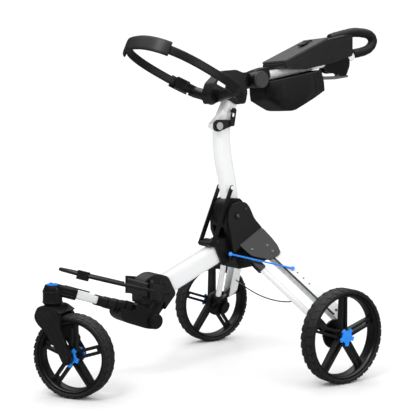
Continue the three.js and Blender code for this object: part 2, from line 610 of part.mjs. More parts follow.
function addFrontEnd() {
  add('front_knuckle', frontKnuckle(), black);
  add('front_arm_tube', armBar(ARM_WIDTH, ARM_HEIGHT, 7, 54, 306), white);
  add('lock_sleeve', armSleeve(), black);
  const [y, z] = FRONT_HINGE;
  add('front_hinge_bolt', fused(bar([-48, y, z], [48, y, z], 8, ROUND), bar([44.5, y, z], [48, y, z], 13, ROUND),
    bar([-48, y, z], [-44.5, y, z], 13, ROUND)), black);
  add('steering_head', steeringHead(), black);
  const cap = fused(bar([0, SWIVEL_Y, HEAD_BOTTOM + 49.5], [0, SWIVEL_Y, HEAD_BOTTOM + 58], 18, ROUND),
    box([-15, 15], [SWIVEL_Y - 3, SWIVEL_Y + 3], [HEAD_BOTTOM + 55, HEAD_BOTTOM + 61]));
  add('swivel_lock', cap, blue);

  const steering = new THREE.Group();
  steering.position.set(0, SWIVEL_Y, 0);
  steering.rotation.z = CASTER_YAW;
  cart.add(steering);
  const place = (geometry) => geometry.translate(0, TRAIL, FRONT_RADIUS);
  add('fork', fork(), black, steering);
  add('front_axle', place(fused(bar([-47, 0, 0], [47, 0, 0], AXLE_RADIUS, ROUND), bar([44.5, 0, 0], [48, 0, 0], 10, ROUND),
    bar([-48, 0, 0], [-44.5, 0, 0], 10, ROUND))), black, steering);
  add('front_tyre', place(tyre(FRONT_RADIUS)), rubber, steering);
  add('front_rim', place(rim(FRONT_RADIUS, 21, -18, 18, 15)), black, steering);
  const hub = turned([[AXLE_RADIUS + SEAT, -28], [23, -28], [23, -19], [14.6, -18.4], [14.6, 18.4], [14.6, 30], [AXLE_RADIUS + SEAT, 30]],
    ROUND);
  const claws = carved(clawCap(16, 7).translate(18.6, 0, 0), bar([0, 0, 0], [40, 0, 0], 14, ROUND));
  add('front_hub', place(fused(hub, claws)), blue, steering);
}

// ---------------------------------------------------------------- mast and fold joint
function addMast() {
  const [hy, hz] = HANDLE_HINGE;
  const section = roundedBox(MAST_WIDTH, MAST_DEPTH, 20);
  const tube = sweep(upright([[-178, 478], [-179, 547], [-190, 612], [-204, 672], [-212, 725], [-214, 790]]), section, 12);
  const cut = box([-60, 60], [-400, 0], [779, 900]);
  const pivot = bar([-60, ...MAST_PIVOT], [60, ...MAST_PIVOT], 7 + RUN, ROUND);
  const strutPin = bar([-STRUT_HALF_GAP + 3.6, -195, 588], [STRUT_HALF_GAP - 3.6, -195, 588], 7, 14);
  const lugs = sideSlab([[-252, 778], [-246, 774], [-228, 752], [-226, 776], [-232, 792], [-246, 791]], -12, 12, 5);
  const hinge = bar([-30, hy, hz], [30, hy, hz], 5 + RUN, 14);
  add('mast', fused(carved(fused(carved(tube, cut), lugs), pivot, hinge), strutPin), white);
  const foot = sideSlab([[-212, 455], [-226, 476], [-222, 530], [-206, 556], [-150, 552], [-140, 520], [-140, 470], [-160, 448]],
    -28.6, 28.6, 8);
  const footRoom = sweep(upright([[-178, 400], [-178, 478], [-179, 547], [-190, 612]]),
    roundedBox(MAST_WIDTH + 2 * SEAT, MAST_DEPTH + 2 * SEAT, 20), 8);
  const trim = box([-60, 60], [-400, 0], [300, 452]);
  add('mast_foot', carved(foot, footRoom, trim, pivot), black);
}

function addUpperTube() {
  const [hy, hz] = HANDLE_HINGE;
  const section = roundedBox(40, 46, 18);
  const tube = sweep(upright([[-213, 792], [-206, 812], [-188, 850], [-176, 884]]), section, 8);
  const trim = box([-60, 60], [-400, 0], [700, 781]);
  const lugs = (side) => sideSlab([[-252, 780], [-246, 775], [-237, 779], [-212, 800], [-216, 824], [-250, 792]],
    Math.min(side * 12.6, side * 20), Math.max(side * 12.6, side * 20), 4);
  const hingePin = bar([-24, hy, hz], [30, hy, hz], 5, 14);
  const linkPin = bar([0, ...LINK_TOP], [37, ...LINK_TOP], 4, 12);
  add('upper_tube', fused(carved(fused(tube, lugs(1), lugs(-1)), trim), hingePin, linkPin), white);

  const plate = sideSlab([[-263, 772], [-250, 764], [-192, 784], [-186, 794], [-194, 803], [-252, 803], [-264, 792]],
    24.6, 31, 6, 2);
  const disc = bar([30.4, hy, hz], [34, hy, hz], 12, 20);
  const elbow = bar([26, ...LEVER_ELBOW], [37, ...LEVER_ELBOW], 4, 12);
  add('lock_lever', fused(carved(plate, bar([0, hy, hz], [60, hy, hz], 5 + RUN, 14)), disc, elbow), charcoal);
  add('lock_link', lockLink(), black);
}

// slotted link between the lever's elbow and the upper tube
function lockLink() {
  const blade = sideSlab([[-206, 785], [-189, 782], [-180, 839], [-197, 842]], 31.6, 36.6, 6, 2);
  const [ey, ez] = LEVER_ELBOW;
  const [ty, tz] = LINK_TOP;
  const length = Math.hypot(ty - ey, tz - ez);
  const share = (length - LINK_RUN) / length;
  const low = [ey + (ty - ey) * share, ez + (tz - ez) * share];
  const half = 4 + 2 * RUN;
  const across = [(tz - ez) / length * half, (ey - ty) / length * half];
  const slot = sideSlab([[low[0] - across[0], low[1] - across[1]], [low[0] + across[0], low[1] + across[1]],
    [ty + across[0], tz + across[1]], [ty - across[0], tz - across[1]]], 20, 60);
  return carved(blade, slot, bar([0, ...LINK_TOP], [60, ...LINK_TOP], half, 16),
    bar([0, ...low], [60, ...low], half, 16), bar([0, ey, ez], [60, ey, ez], 4 + RUN, 12));
}

// ---------------------------------------------------------------- cradle and upper strap
const squared = (value) => Math.sign(value) * Math.abs(value) ** STRAP_SQUARE;

function ringBand(halfWidth, halfLength, height, thick, from, to, steps) {
  const points = [];
  for (const [grow, order] of [[0, 1], [thick, -1]]) {
    for (let i = 0; i <= steps; i += 1) {
      const share = order > 0 ? i / steps : 1 - i / steps;
      const angle = from + (to - from) * share;
      points.push([(halfWidth + grow) * squared(Math.sin(angle)), -(halfLength + grow) * squared(Math.cos(angle))]);
    }
  }
  return slab(points, -height / 2, height / 2);
}

const strapFrame = frameOf(STRAP_TILT, ...STRAP_CENTRE);

function addCradle() {
  const [y, z] = ANGLE_PIVOT;
  const body = sideSlab([[-214, 872], [-264, 850], [-276, 878], [-262, 918], [-236, 942], [-231, 956], [-177, 962], [-137, 950],
    [-127, 944], [-127, 915], [-134, 905], [-130, 892], [-138, 856], [-176, 852]], -26, 26, 5);
  const window = sideSlab([[-238, 938], [-160, 912], [-172, 884], [-252, 914]], -40, 40, 3);
  const neck = sideSlab([[-190, 957], [-120, 954], [-100, 950], [-100, 914], [-128, 908], [-170, 925]], -17, 17, 5);
  const barrel = bar([-17, y, z], [17, y, z], 25, 24);
  const tubeRoom = sweep(upright([[-213, 792], [-206, 812], [-188, 850], [-176, 884], [-172, 896]]),
    roundedBox(40 + 2 * SEAT, 46 + 2 * SEAT, 18), 10);
  const wing = (side) => bar([side * 20, -240, 876], [side * 118, -240, 894], 18, 14);
  add('upper_cradle', carved(fused(carved(body, window), neck, barrel, wing(1), wing(-1)), tubeRoom,
    bar([-30, y, z], [30, y, z], 6 + RUN, 14), strapRoom()), black);
}

function strapBand(grow, end) {
  const reach = Math.PI - STRAP_OPEN + end;
  return ringBand(STRAP_HALF_WIDTH - grow, STRAP_HALF_LENGTH - grow, STRAP_HEIGHT + 2 * grow, STRAP_THICK + 2 * grow,
    -reach, reach, 36).applyMatrix4(strapFrame);
}

const strapRoom = () => strapBand(SEAT, 1 * DEG);

function addUpperStrap() {
  add('upper_strap', strapBand(0, 0), rubber);
  const skin = STRAP_THICK + SEAT;
  const pad = ringBand(STRAP_HALF_WIDTH + skin, STRAP_HALF_LENGTH + skin, PAD_HEIGHT, PAD_THICK, -38 * DEG, 50 * DEG, 14);
  add('strap_pad', pad.applyMatrix4(strapFrame), black);
  // ribbed slider that takes up the strap's length, on its right side near the cradle
  const ribs = [-18, -10, -2, 6, 14].map((y) => box([-10, -6], [y, y + 4], [-17, 17]));
  const buckle = fused(box([-7, 11], [-22, 22], [-19, 19]), ...ribs);
  buckle.rotateZ(-13.5 * DEG).translate(-127, 78, 0).applyMatrix4(strapFrame);
  add('strap_buckle', carved(buckle, strapRoom()), black);
}

// ---------------------------------------------------------------- handle
const stemFrame = frameOf(STEM_SLOPE, ANGLE_PIVOT[0], ANGLE_PIVOT[1]);
const inStem = (geometry) => geometry.applyMatrix4(stemFrame);

function stem(grow, from, to) {
  return inStem(bar([0, from, STEM_LIFT], [0, to, STEM_LIFT], STEM_RADIUS + grow, 20));
}

function stemClevis() {
  const [y, z] = ANGLE_PIVOT;
  const cheeks = bar([-50, y, z], [50, y, z], JOINT_RADIUS, 28);
  const block = inStem(sideSlab([[20, -8], [62, -6], [62, 33], [20, 30], [0, 26]], -24, 24, 5));
  const gap = bar([-17 - RUN, y, z], [17 + RUN, y, z], JOINT_RADIUS + 1.5, 28);
  const neckRoom = sideSlab([[-260, 860], [-97, 860], [-97, 1000], [-260, 1000]], -17 - RUN, 17 + RUN);
  return fused(carved(fused(cheeks, block), gap, neckRoom, stem(SEAT, 47, 500)), bar([-30, y, z], [30, y, z], 6, 14));
}

const gripPath = [[343, 1041], [395, 1053], [425, 1067], [440, 1089], [431, 1107], [405, 1116], [350, 1116], [307, 1107],
  [262, 1095], [238, 1087]];

function consoleBase() {
  const body = sideSlab([[-4, 992], [0, 975], [78, 972], [204, 1001], [272, 1023], [288, 1029], [286, 1095],
    [266, 1098], [178, 1076]], -CONSOLE_HALF, CONSOLE_HALF, 4);
  const tray = sideSlab([[12, 985], [60, 997], [168, 1020], [168, 1100], [12, 1100]], -CONSOLE_HALF + 6, CONSOLE_HALF - 6, 4);
  const under = sideSlab([[60, 960], [214, 990], [330, 1020], [330, 1040], [214, 1012], [60, 978]], -CONSOLE_HALF + 5,
    CONSOLE_HALF - 5);
  const gripRoom = sweep(upright(gripPath), circle(GRIP_RADIUS + 1.6, 12), 16);
  return carved(body, tray, under, gripRoom, stem(SEAT, 0, 500));
}

function netBag() {
  const outside = [[-68, 926], [-62, 865], [4, 834], [46, 834], [176, 905], [161, 978]];
  const inside = [[-64.5, 1020], [-59, 866.8], [4.6, 837], [45.4, 837], [172.6, 906.6], [140, 1060]];
  const shell = carved(sideSlab(outside, -BAG_HALF, BAG_HALF, 6), sideSlab(inside, -BAG_HALF + BAG_WALL, BAG_HALF - BAG_WALL, 4));
  const jointRoom = bar([-80, ...ANGLE_PIVOT], [80, ...ANGLE_PIVOT], JOINT_RADIUS + 2, 28);
  const frontNotch = box([-BAG_HALF + BAG_WALL, BAG_HALF - BAG_WALL], [-90, -40], [914, 1000]);
  return carved(shell, jointRoom, frontNotch, stem(1.5, 0, 500), inStem(sideSlab([[-4, -10], [64, -8], [64, 36], [-4, 34]], -26, 26)));
}

function addHandle() {
  add('stem_clevis', stemClevis(), black);
  add('handle_stem', stem(0, 47 + SEAT, STEM_END), white);
  const [y, z] = ANGLE_PIVOT;
  add('angle_knob', bar([50 + SEAT, y, z], [58, y, z], JOINT_RADIUS, 28), grey);
  add('console_base', consoleBase(), charcoal);
  const plate = sideSlab([[-4, 992.5], [178, 1076.5], [176, 1083.5], [-4, 999]], -CONSOLE_HALF, CONSOLE_HALF, 1);
  const clips = [0, 1, 2].map((i) => box([-8 + i, 8 - i], [122 + i * 13, 129 + i * 13], [1052 + i * 6, 1066 + i * 6]));
  add('console_lid', fused(plate, ...clips), grey);
  add('net_bag', netBag(), fabric);
  const grip = sweep(upright(gripPath), circle(GRIP_RADIUS, 12), 22);
  add('handle_grip', grip, rubber);
  addBrakeLever();
}

function addBrakeLever() {
  const pivot = [284, 982];
  const bracket = sideSlab([[205, 976], [212, 1006], [300, 1030], [316, 1024], [318, 1000], [304, 966], [288, 960], [270, 974],
    [236, 968]], -17, 17, 5);
  const slot = sideSlab([[150, 900], [400, 900], [400, 1014], [270, 994], [150, 975]], -7, 7);
  add('lever_bracket', fused(carved(bracket, slot, stem(SEAT, 0, 600)), bar([-9, ...pivot], [9, ...pivot], 3.4, 12)), black);
  const lever = sideSlab([[184, 952], [200, 946], [262, 950], [322, 960], [322, 967], [300, 970], [292, 988], [276, 988], [270, 962],
    [214, 958], [188, 961]], -6, 6, 3);
  add('brake_lever', carved(lever, bar([-20, ...pivot], [20, ...pivot], 3.4 + RUN, 12)), silver);
}

// ---------------------------------------------------------------- build
addRearWheels();
addLegs();
addHub();
addLowerStrap();
addFrontEnd();
addMast();
addUpperTube();
addCradle();
addUpperStrap();
addHandle();

// the origin is at the middle of the cart's footprint, on the ground
cart.updateMatrixWorld(true);
const extent = new THREE.Box3().setFromObject(cart);
cart.position.y = -(extent.min.y + extent.max.y) / 2;

export default cart;
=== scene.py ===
# %% [markdown]
# # A folding three-wheel golf push cart
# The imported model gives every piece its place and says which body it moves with. This script keeps that frame
# and gives each piece its rounded edges, its small details and its surface. All lengths are metres, +Z is up
# and the cart's nose points along -Y.

# %% Load the frame
import json
import math

import bmesh
import bpy
from mathutils import Matrix, Vector


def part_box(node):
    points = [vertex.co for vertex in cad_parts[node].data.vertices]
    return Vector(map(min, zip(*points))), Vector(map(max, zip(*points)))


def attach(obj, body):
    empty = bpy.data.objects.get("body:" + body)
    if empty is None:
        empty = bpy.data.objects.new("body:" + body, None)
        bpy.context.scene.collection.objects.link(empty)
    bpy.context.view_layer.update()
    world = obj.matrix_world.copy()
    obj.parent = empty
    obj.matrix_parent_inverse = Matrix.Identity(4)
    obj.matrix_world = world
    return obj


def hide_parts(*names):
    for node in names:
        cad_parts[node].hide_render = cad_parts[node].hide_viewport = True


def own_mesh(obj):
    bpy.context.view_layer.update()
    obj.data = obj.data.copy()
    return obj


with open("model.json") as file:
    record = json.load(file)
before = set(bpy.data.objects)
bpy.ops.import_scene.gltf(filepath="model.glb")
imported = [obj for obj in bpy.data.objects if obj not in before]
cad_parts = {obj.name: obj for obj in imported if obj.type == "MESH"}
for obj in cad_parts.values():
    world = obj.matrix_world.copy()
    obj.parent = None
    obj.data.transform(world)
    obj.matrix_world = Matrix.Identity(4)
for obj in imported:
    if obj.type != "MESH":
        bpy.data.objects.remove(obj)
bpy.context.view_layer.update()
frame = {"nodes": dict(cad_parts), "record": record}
nodes = frame["nodes"]

# %% [markdown]
# The cart's own drawing has its zero above the rear axle, so the axle's place in the frame gives the shift
# from the drawing to the frame. The rear tyre's box is as wide as the wheel in Y, so its middle is the axle.

# %% Drawing coordinates
MM = 0.001
REAR_RADIUS = 0.146
FRONT_RADIUS = 0.1207
TRACK_HALF = 0.3485
TYRE_HALF = 0.0275
YAW = math.radians(-55.5)
rear_low, rear_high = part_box("rear_tyre_left")
SHIFT = (rear_low.y + rear_high.y) / 2


def at(x, y, z):
    """A point of the drawing, in millimetres, as a point of the frame."""
    return Vector((x * MM, y * MM + SHIFT, z * MM))


front_low, front_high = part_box("front_tyre")
FRONT_CENTRE = (front_low + front_high) / 2
FRONT_CENTRE.z = FRONT_RADIUS
print("shift", round(SHIFT, 5), "front wheel", [round(v, 4) for v in FRONT_CENTRE])

# %% [markdown]
# The camera stands low at the cart's left front, about three metres away, with a long lens, so the cart's
# uprights stay nearly parallel. A camera's axes are right, up and back; a matrix with these as columns turns
# it.

# %% Camera
AZIMUTH, ELEVATION, ROLL = math.radians(55.964), math.radians(4.95), math.radians(0.512)
DISTANCE = 2.948
back = Vector((math.sin(AZIMUTH) * math.cos(ELEVATION),
               -math.cos(AZIMUTH) * math.cos(ELEVATION),
               math.sin(ELEVATION)))
right = Vector((math.cos(AZIMUTH), math.sin(AZIMUTH), 0))
up = back.cross(right)
right, up = right * math.cos(ROLL) + up * math.sin(ROLL), up * math.cos(ROLL) - right * math.sin(ROLL)
lens = bpy.data.cameras.new("camera")
lens.sensor_width = 36
lens.lens = 80.75
lens.shift_x = 0.0239
lens.shift_y = 0.0189
lens.clip_end = 60
camera = bpy.data.objects.new("camera", lens)
bpy.context.scene.collection.objects.link(camera)
placed = Matrix((right, up, back)).transposed().to_4x4()
placed.translation = at(0, -300, 500) + back * DISTANCE
camera.matrix_world = placed
bpy.context.scene.camera = camera
print("camera at", [round(v, 3) for v in placed.translation])

# %% [markdown]
# A bright, even studio: a pale floor that runs out of sight, a white surround, one big soft light above and
# two weaker ones that draw highlights along the tubes. The surround is even for everything but reflections,
# which see a dark room with a bright ceiling, so that black plastic stays black and its edges catch the light.

# %% Studio
SURROUND = 1.06
CEILING_EDGE = (0.35, 0.95)  # the height, as a share of straight up, over which the reflected ceiling brightens
REFLECTED = (0.07, 2.6)  # how bright the walls and the ceiling are in reflections
scene = bpy.context.scene
scene.view_settings.view_transform = "Standard"
world = bpy.data.worlds.new("surround")
world.use_nodes = True
sky = world.node_tree
sky.nodes["Background"].inputs["Color"].default_value = (1, 1, 1, 1)
ray = sky.nodes.new("ShaderNodeLightPath")
aim = sky.nodes.new("ShaderNodeTexCoord")
height = sky.nodes.new("ShaderNodeSeparateXYZ")
banks = sky.nodes.new("ShaderNodeMapRange")
banks.interpolation_type = "SMOOTHSTEP"
banks.inputs["From Min"].default_value, banks.inputs["From Max"].default_value = CEILING_EDGE
banks.inputs["To Min"].default_value, banks.inputs["To Max"].default_value = REFLECTED
choose = sky.nodes.new("ShaderNodeMix")
choose.inputs["A"].default_value = SURROUND
sky.links.new(aim.outputs["Generated"], height.inputs["Vector"])
sky.links.new(height.outputs["Z"], banks.inputs["Value"])
sky.links.new(ray.outputs["Is Glossy Ray"], choose.inputs["Factor"])
sky.links.new(banks.outputs["Result"], choose.inputs["B"])
sky.links.new(choose.outputs["Result"], sky.nodes["Background"].inputs["Strength"])
scene.world = world


def soft_light(name, place, target, size, power, mirrored=True):
    data = bpy.data.lights.new(name, "AREA")
    data.shape = "DISK"
    data.size = size
    data.energy = power
    lamp = bpy.data.objects.new(name, data)
    scene.collection.objects.link(lamp)
    lamp.location = place
    lamp.rotation_euler = (Vector(target) - Vector(place)).to_track_quat("-Z", "Y").to_euler()
    lamp.visible_glossy = mirrored
    return lamp


soft_light("key", (1.6, -2.6, 3.4), (0, 0, 0.4), 1.0, 34)
soft_light("rim", (-2.6, 2.2, 2.6), (0, 0, 0.5), 1.0, 16, mirrored=False)
soft_light("side", (3.4, 1.6, 1.4), (0, 0, 0.5), 0.6, 9)

# %% [markdown]
# ## Surfaces
# Moulded plastic has a fine grain that breaks up its highlight, and paint has a slight orange peel. Both are a
# small noise that bends the surface's normal, so one node group makes them, with the size and depth as inputs.

# %% Shared shader groups


def node_group(name, inputs, outputs):
    group = bpy.data.node_groups.new(name, "ShaderNodeTree")
    for label, kind, value in inputs:
        socket = group.interface.new_socket(name=label, in_out="INPUT", socket_type=kind)
        socket.default_value = value
    for label, kind in outputs:
        group.interface.new_socket(name=label, in_out="OUTPUT", socket_type=kind)
    return group, group.nodes.new("NodeGroupInput"), group.nodes.new("NodeGroupOutput")


def grain_group():
    group, given, result = node_group(
        "surface grain",
        [("Scale", "NodeSocketFloat", 900.0), ("Depth", "NodeSocketFloat", 0.1)],
        [("Normal", "NodeSocketVector"), ("Mask", "NodeSocketFloat")])
    place = group.nodes.new("ShaderNodeTexCoord")
    noise = group.nodes.new("ShaderNodeTexNoise")
    noise.inputs["Detail"].default_value = 3
    bump = group.nodes.new("ShaderNodeBump")
    bump.inputs["Distance"].default_value = 0.0004
    group.links.new(place.outputs["Object"], noise.inputs["Vector"])
    group.links.new(given.outputs["Scale"], noise.inputs["Scale"])
    group.links.new(noise.outputs["Fac"], bump.inputs["Height"])
    group.links.new(given.outputs["Depth"], bump.inputs["Strength"])
    group.links.new(bump.outputs["Normal"], result.inputs["Normal"])
    group.links.new(noise.outputs["Fac"], result.inputs["Mask"])
    return group


def wear_group():
    """Where edges are rubbed, in patches, as a mask from 0 to 1."""
    group, given, result = node_group(
        "edge wear",
        [("Amount", "NodeSocketFloat", 0.5), ("Patches", "NodeSocketFloat", 22.0)],
        [("Mask", "NodeSocketFloat")])
    place = group.nodes.new("ShaderNodeTexCoord")
    geometry = group.nodes.new("ShaderNodeNewGeometry")
    edge = group.nodes.new("ShaderNodeMapRange")
    edge.inputs["From Min"].default_value = 0.52
    edge.inputs["From Max"].default_value = 0.62
    noise = group.nodes.new("ShaderNodeTexNoise")
    noise.inputs["Detail"].default_value = 5
    both = group.nodes.new("ShaderNodeMath")
    both.operation = "MULTIPLY"
    scaled = group.nodes.new("ShaderNodeMath")
    scaled.operation = "MULTIPLY"
    scaled.use_clamp = True
    group.links.new(geometry.outputs["Pointiness"], edge.inputs["Value"])
    group.links.new(place.outputs["Object"], noise.inputs["Vector"])
    group.links.new(given.outputs["Patches"], noise.inputs["Scale"])
    group.links.new(edge.outputs["Result"], both.inputs[0])
    group.links.new(noise.outputs["Fac"], both.inputs[1])
    group.links.new(both.outputs["Value"], scaled.inputs[0])
    group.links.new(given.outputs["Amount"], scaled.inputs[1])
    group.links.new(scaled.outputs["Value"], result.inputs["Mask"])
    return group


GRAIN = grain_group()
WEAR = wear_group()
print("groups", [g.name for g in (GRAIN, WEAR)])

# %% [markdown]
# Every finish is one material: its own colour, a second colour where edges are rubbed, a roughness that
# wanders a little, and grain in its normal. The two groups are the same in all of them.

# %% Materials


def finish(name, colour, worn, rough, grain, wear=0.5, metal=0.0, coat=0.0, spread=0.1, shine=0.42):
    material = bpy.data.materials.new(name)
    material.use_nodes = True
    tree = material.node_tree
    shader = tree.nodes["Principled BSDF"]
    shader.inputs["Metallic"].default_value = metal
    shader.inputs["Specular IOR Level"].default_value = shine
    shader.inputs["Coat Weight"].default_value = coat
    shader.inputs["Coat Roughness"].default_value = 0.08
    mask = tree.nodes.new("ShaderNodeGroup")
    mask.node_tree = WEAR
    mask.inputs["Amount"].default_value = wear
    skin = tree.nodes.new("ShaderNodeGroup")
    skin.node_tree = GRAIN
    skin.inputs["Scale"].default_value, skin.inputs["Depth"].default_value = grain
    mix = tree.nodes.new("ShaderNodeMix")
    mix.data_type = "RGBA"
    mix.inputs["A"].default_value = (*colour, 1)
    mix.inputs["B"].default_value = (*worn, 1)
    roughness = tree.nodes.new("ShaderNodeMapRange")
    roughness.inputs["To Min"].default_value = max(rough - spread, 0.02)
    roughness.inputs["To Max"].default_value = min(rough + spread, 1)
    tree.links.new(mask.outputs["Mask"], mix.inputs["Factor"])
    tree.links.new(mix.outputs["Result"], shader.inputs["Base Color"])
    tree.links.new(skin.outputs["Mask"], roughness.inputs["Value"])
    tree.links.new(roughness.outputs["Result"], shader.inputs["Roughness"])
    tree.links.new(skin.outputs["Normal"], shader.inputs["Normal"])
    return material


FINISHES = {
    "white_gloss_paint": finish(
        "white gloss paint", (0.81, 0.815, 0.82), (0.70, 0.71, 0.72),
        0.26, (260, 0.03), 0.4, coat=0.35, spread=0.04, shine=0.5),
    "black_plastic": finish(
        "black moulded plastic", (0.0045, 0.0045, 0.005), (0.022, 0.022, 0.023),
        0.30, (1600, 0.10)),
    "charcoal_plastic": finish(
        "charcoal moulded plastic", (0.010, 0.010, 0.0105), (0.032, 0.032, 0.033),
        0.36, (1400, 0.10)),
    "grey_plastic": finish(
        "grey moulded plastic", (0.038, 0.038, 0.04), (0.075, 0.075, 0.078),
        0.42, (1500, 0.1)),
    "blue_accent": finish(
        "blue gloss plastic", (0.011, 0.235, 0.83), (0.10, 0.36, 0.86),
        0.28, (700, 0.06), 0.4, spread=0.05),
    "black_rubber": finish(
        "strap rubber", (0.006, 0.006, 0.006), (0.022, 0.022, 0.022),
        0.38, (1100, 0.1)),
    "black_net": finish(
        "bag net", (0.0045, 0.0045, 0.005), (0.02, 0.02, 0.021),
        0.5, (420, 0.9)),
    "silver_alloy": finish(
        "silver alloy", (0.62, 0.63, 0.64), (0.8, 0.8, 0.8),
        0.3, (500, 0.08), metal=1.0),
    "tyre_rubber": finish(
        "tyre rubber", (0.006, 0.006, 0.0063), (0.028, 0.0275, 0.0265),
        0.55, (800, 0.35), 0.7),
}
foam = finish("grip foam", (0.006, 0.006, 0.0065), (0.02, 0.02, 0.021), 0.6, (2200, 0.25))
webbing = finish("strap webbing", (0.006, 0.006, 0.0065), (0.02, 0.02, 0.02), 0.4, (1200, 0.12))
steel = finish("dark bolt steel", (0.16, 0.16, 0.17), (0.4, 0.4, 0.41), 0.34, (600, 0.1), metal=0.9)
pale = finish("pale lever disc", (0.36, 0.36, 0.37), (0.5, 0.5, 0.5), 0.4, (900, 0.1))
floor_paint = finish("studio floor", (0.93, 0.93, 0.935), (0.93, 0.93, 0.935), 0.9, (6, 0.0), 0.0, shine=0.0)
FLOOR_SEEN, FLOOR_MIRRORED = (0.965, 0.965, 0.968, 1), (0.16, 0.16, 0.16, 1)  # pale, but dark in reflections
floor_tree = floor_paint.node_tree
ray = floor_tree.nodes.new("ShaderNodeLightPath")
seen = floor_tree.nodes.new("ShaderNodeMix")
seen.data_type = "RGBA"
seen.inputs["A"].default_value = FLOOR_SEEN
seen.inputs["B"].default_value = FLOOR_MIRRORED
floor_tree.links.new(ray.outputs["Is Glossy Ray"], seen.inputs["Factor"])
floor_tree.links.new(seen.outputs["Result"], floor_tree.nodes["Principled BSDF"].inputs["Base Color"])
SLOT_OF = {material.name: name for name, material in FINISHES.items()}
SLOT_OF.update({foam.name: "black_rubber", webbing.name: "black_rubber", steel.name: "silver_alloy",
                pale.name: "grey_plastic"})
print(len(bpy.data.materials), "materials")

# %% [markdown]
# ## Helpers
# A piece is drawn in a bmesh and then settled: doubles merged, normals turned out, shading smoothed across
# small angles, and every sharp edge rounded by a Bevel modifier, because no moulded or bent part has a
# perfectly sharp edge and the thin highlight along it is what makes it look real.

# %% Settling a piece
BODY_OF = {node: body for body, members in frame["record"]["behaviour"]["bodies"].items() for node in members}
FACE_ANGLE = math.radians(32)


def settle(name, bm, material, body, replaces=(), bevel=0.0, segments=2, rounds=0, outward=True):
    bmesh.ops.remove_doubles(bm, verts=bm.verts, dist=1e-6)
    if outward:
        bmesh.ops.recalc_face_normals(bm, faces=bm.faces)
    mesh = bpy.data.meshes.new(name)
    bm.to_mesh(mesh)
    bm.free()
    mesh.shade_smooth()
    piece = bpy.data.objects.new(name, mesh)
    scene.collection.objects.link(piece)
    mesh.materials.append(material)
    if rounds:
        smooth = piece.modifiers.new("rounding", "SUBSURF")
        smooth.levels = smooth.render_levels = rounds
    if bevel:
        edge = piece.modifiers.new("soft edges", "BEVEL")
        edge.width = bevel
        edge.segments = segments
        edge.limit_method = "ANGLE"
        edge.angle_limit = FACE_ANGLE
        weights = piece.modifiers.new("even shading", "WEIGHTED_NORMAL")
        weights.keep_sharp = False
    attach(piece, body)
    if replaces:
        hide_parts(*replaces)
    return piece


def softened(node, bevel=0.0012):
    """A merged copy of a CAD node with its flats dissolved and its edges rounded."""
    bm = bmesh.new()
    bm.from_mesh(nodes[node].data)
    bmesh.ops.remove_doubles(bm, verts=bm.verts, dist=1e-5)
    bmesh.ops.dissolve_limit(bm, angle_limit=math.radians(0.6), verts=bm.verts, edges=bm.edges)
    slot_name = next(s["material_slot"] for s in frame["record"]["subparts"] if s["node"] == node)
    return settle(f"shown_{node}", bm, FINISHES[slot_name], BODY_OF[node], (node,), bevel, outward=False)


# %% [markdown]
# Two shapes come back again and again: a turned body, which is a profile spun round an axle, and a lofted
# one, which is a row of rings bridged together. A tube that bends is a loft whose rings follow a smooth path.

# %% Turned and lofted bodies


def turned_into(bm, profile, steps=64):
    """Spins a closed profile of (radius, x) in metres round the X axis."""
    verts = [bm.verts.new((x, 0, radius)) for radius, x in profile]
    edges = [bm.edges.new((verts[i], verts[(i + 1) % len(verts)])) for i in range(len(verts))]
    bmesh.ops.spin(bm, geom=verts + edges, cent=(0, 0, 0), axis=(1, 0, 0), angle=math.tau, steps=steps,
                   use_merge=True, use_duplicate=False)


def spun(profile, place, steps=64):
    bm = bmesh.new()
    turned_into(bm, profile, steps)
    bmesh.ops.remove_doubles(bm, verts=bm.verts, dist=1e-6)
    bm.transform(place)
    return bm


def block_into(bm, size, place, bevel=0.0):
    """A rounded block of that size, placed by a matrix."""
    made = bmesh.ops.create_cube(bm, size=1, matrix=place @ Matrix.Diagonal((*size, 1)))
    if bevel:
        edges = {e for v in made["verts"] for e in v.link_edges}
        bmesh.ops.bevel(bm, geom=list(edges), offset=bevel, affect="EDGES", segments=2, profile=0.5,
                        material=-1)


def rod_into(bm, start, end, radius, sides=24):
    """A round bar between two points, closed at both ends."""
    start, end = Vector(start), Vector(end)
    place = Matrix.Translation((start + end) / 2) @ (end - start).to_track_quat("Z", "Y").to_matrix().to_4x4()
    bmesh.ops.create_cone(bm, cap_ends=True, segments=sides, radius1=radius, radius2=radius,
                          depth=(end - start).length, matrix=place)


def path_through(points, steps):
    """Evenly many points on the smooth curve through the given ones."""
    padded = [points[0] * 2 - points[1], *points, points[-1] * 2 - points[-2]]
    found = []
    spans = len(points) - 1
    for i in range(steps + 1):
        where = i / steps * spans
        k = min(int(where), spans - 1)
        t = where - k
        a, b, c, d = padded[k:k + 4]
        slope, bend, twist = c - a, 2 * a - 5 * b + 4 * c - d, 3 * b - a - 3 * c + d
        found.append(0.5 * (2 * b + slope * t + bend * t * t + twist * t ** 3))
    return found


def loft(rings, caps=True):
    """Bridges rings of points, each a list of the same length."""
    bm = bmesh.new()
    loops = []
    for ring in rings:
        made = bmesh.ops.create_circle(bm, segments=len(ring), radius=1)["verts"]
        for vert, point in zip(made, ring):
            vert.co = point
        loops.append([e for e in {e for v in made for e in v.link_edges}])
    for first, second in zip(loops, loops[1:]):
        bmesh.ops.bridge_loops(bm, edges=first + second)
    if caps:
        bmesh.ops.contextual_create(bm, geom=loops[0])
        bmesh.ops.contextual_create(bm, geom=loops[-1])
    return bm


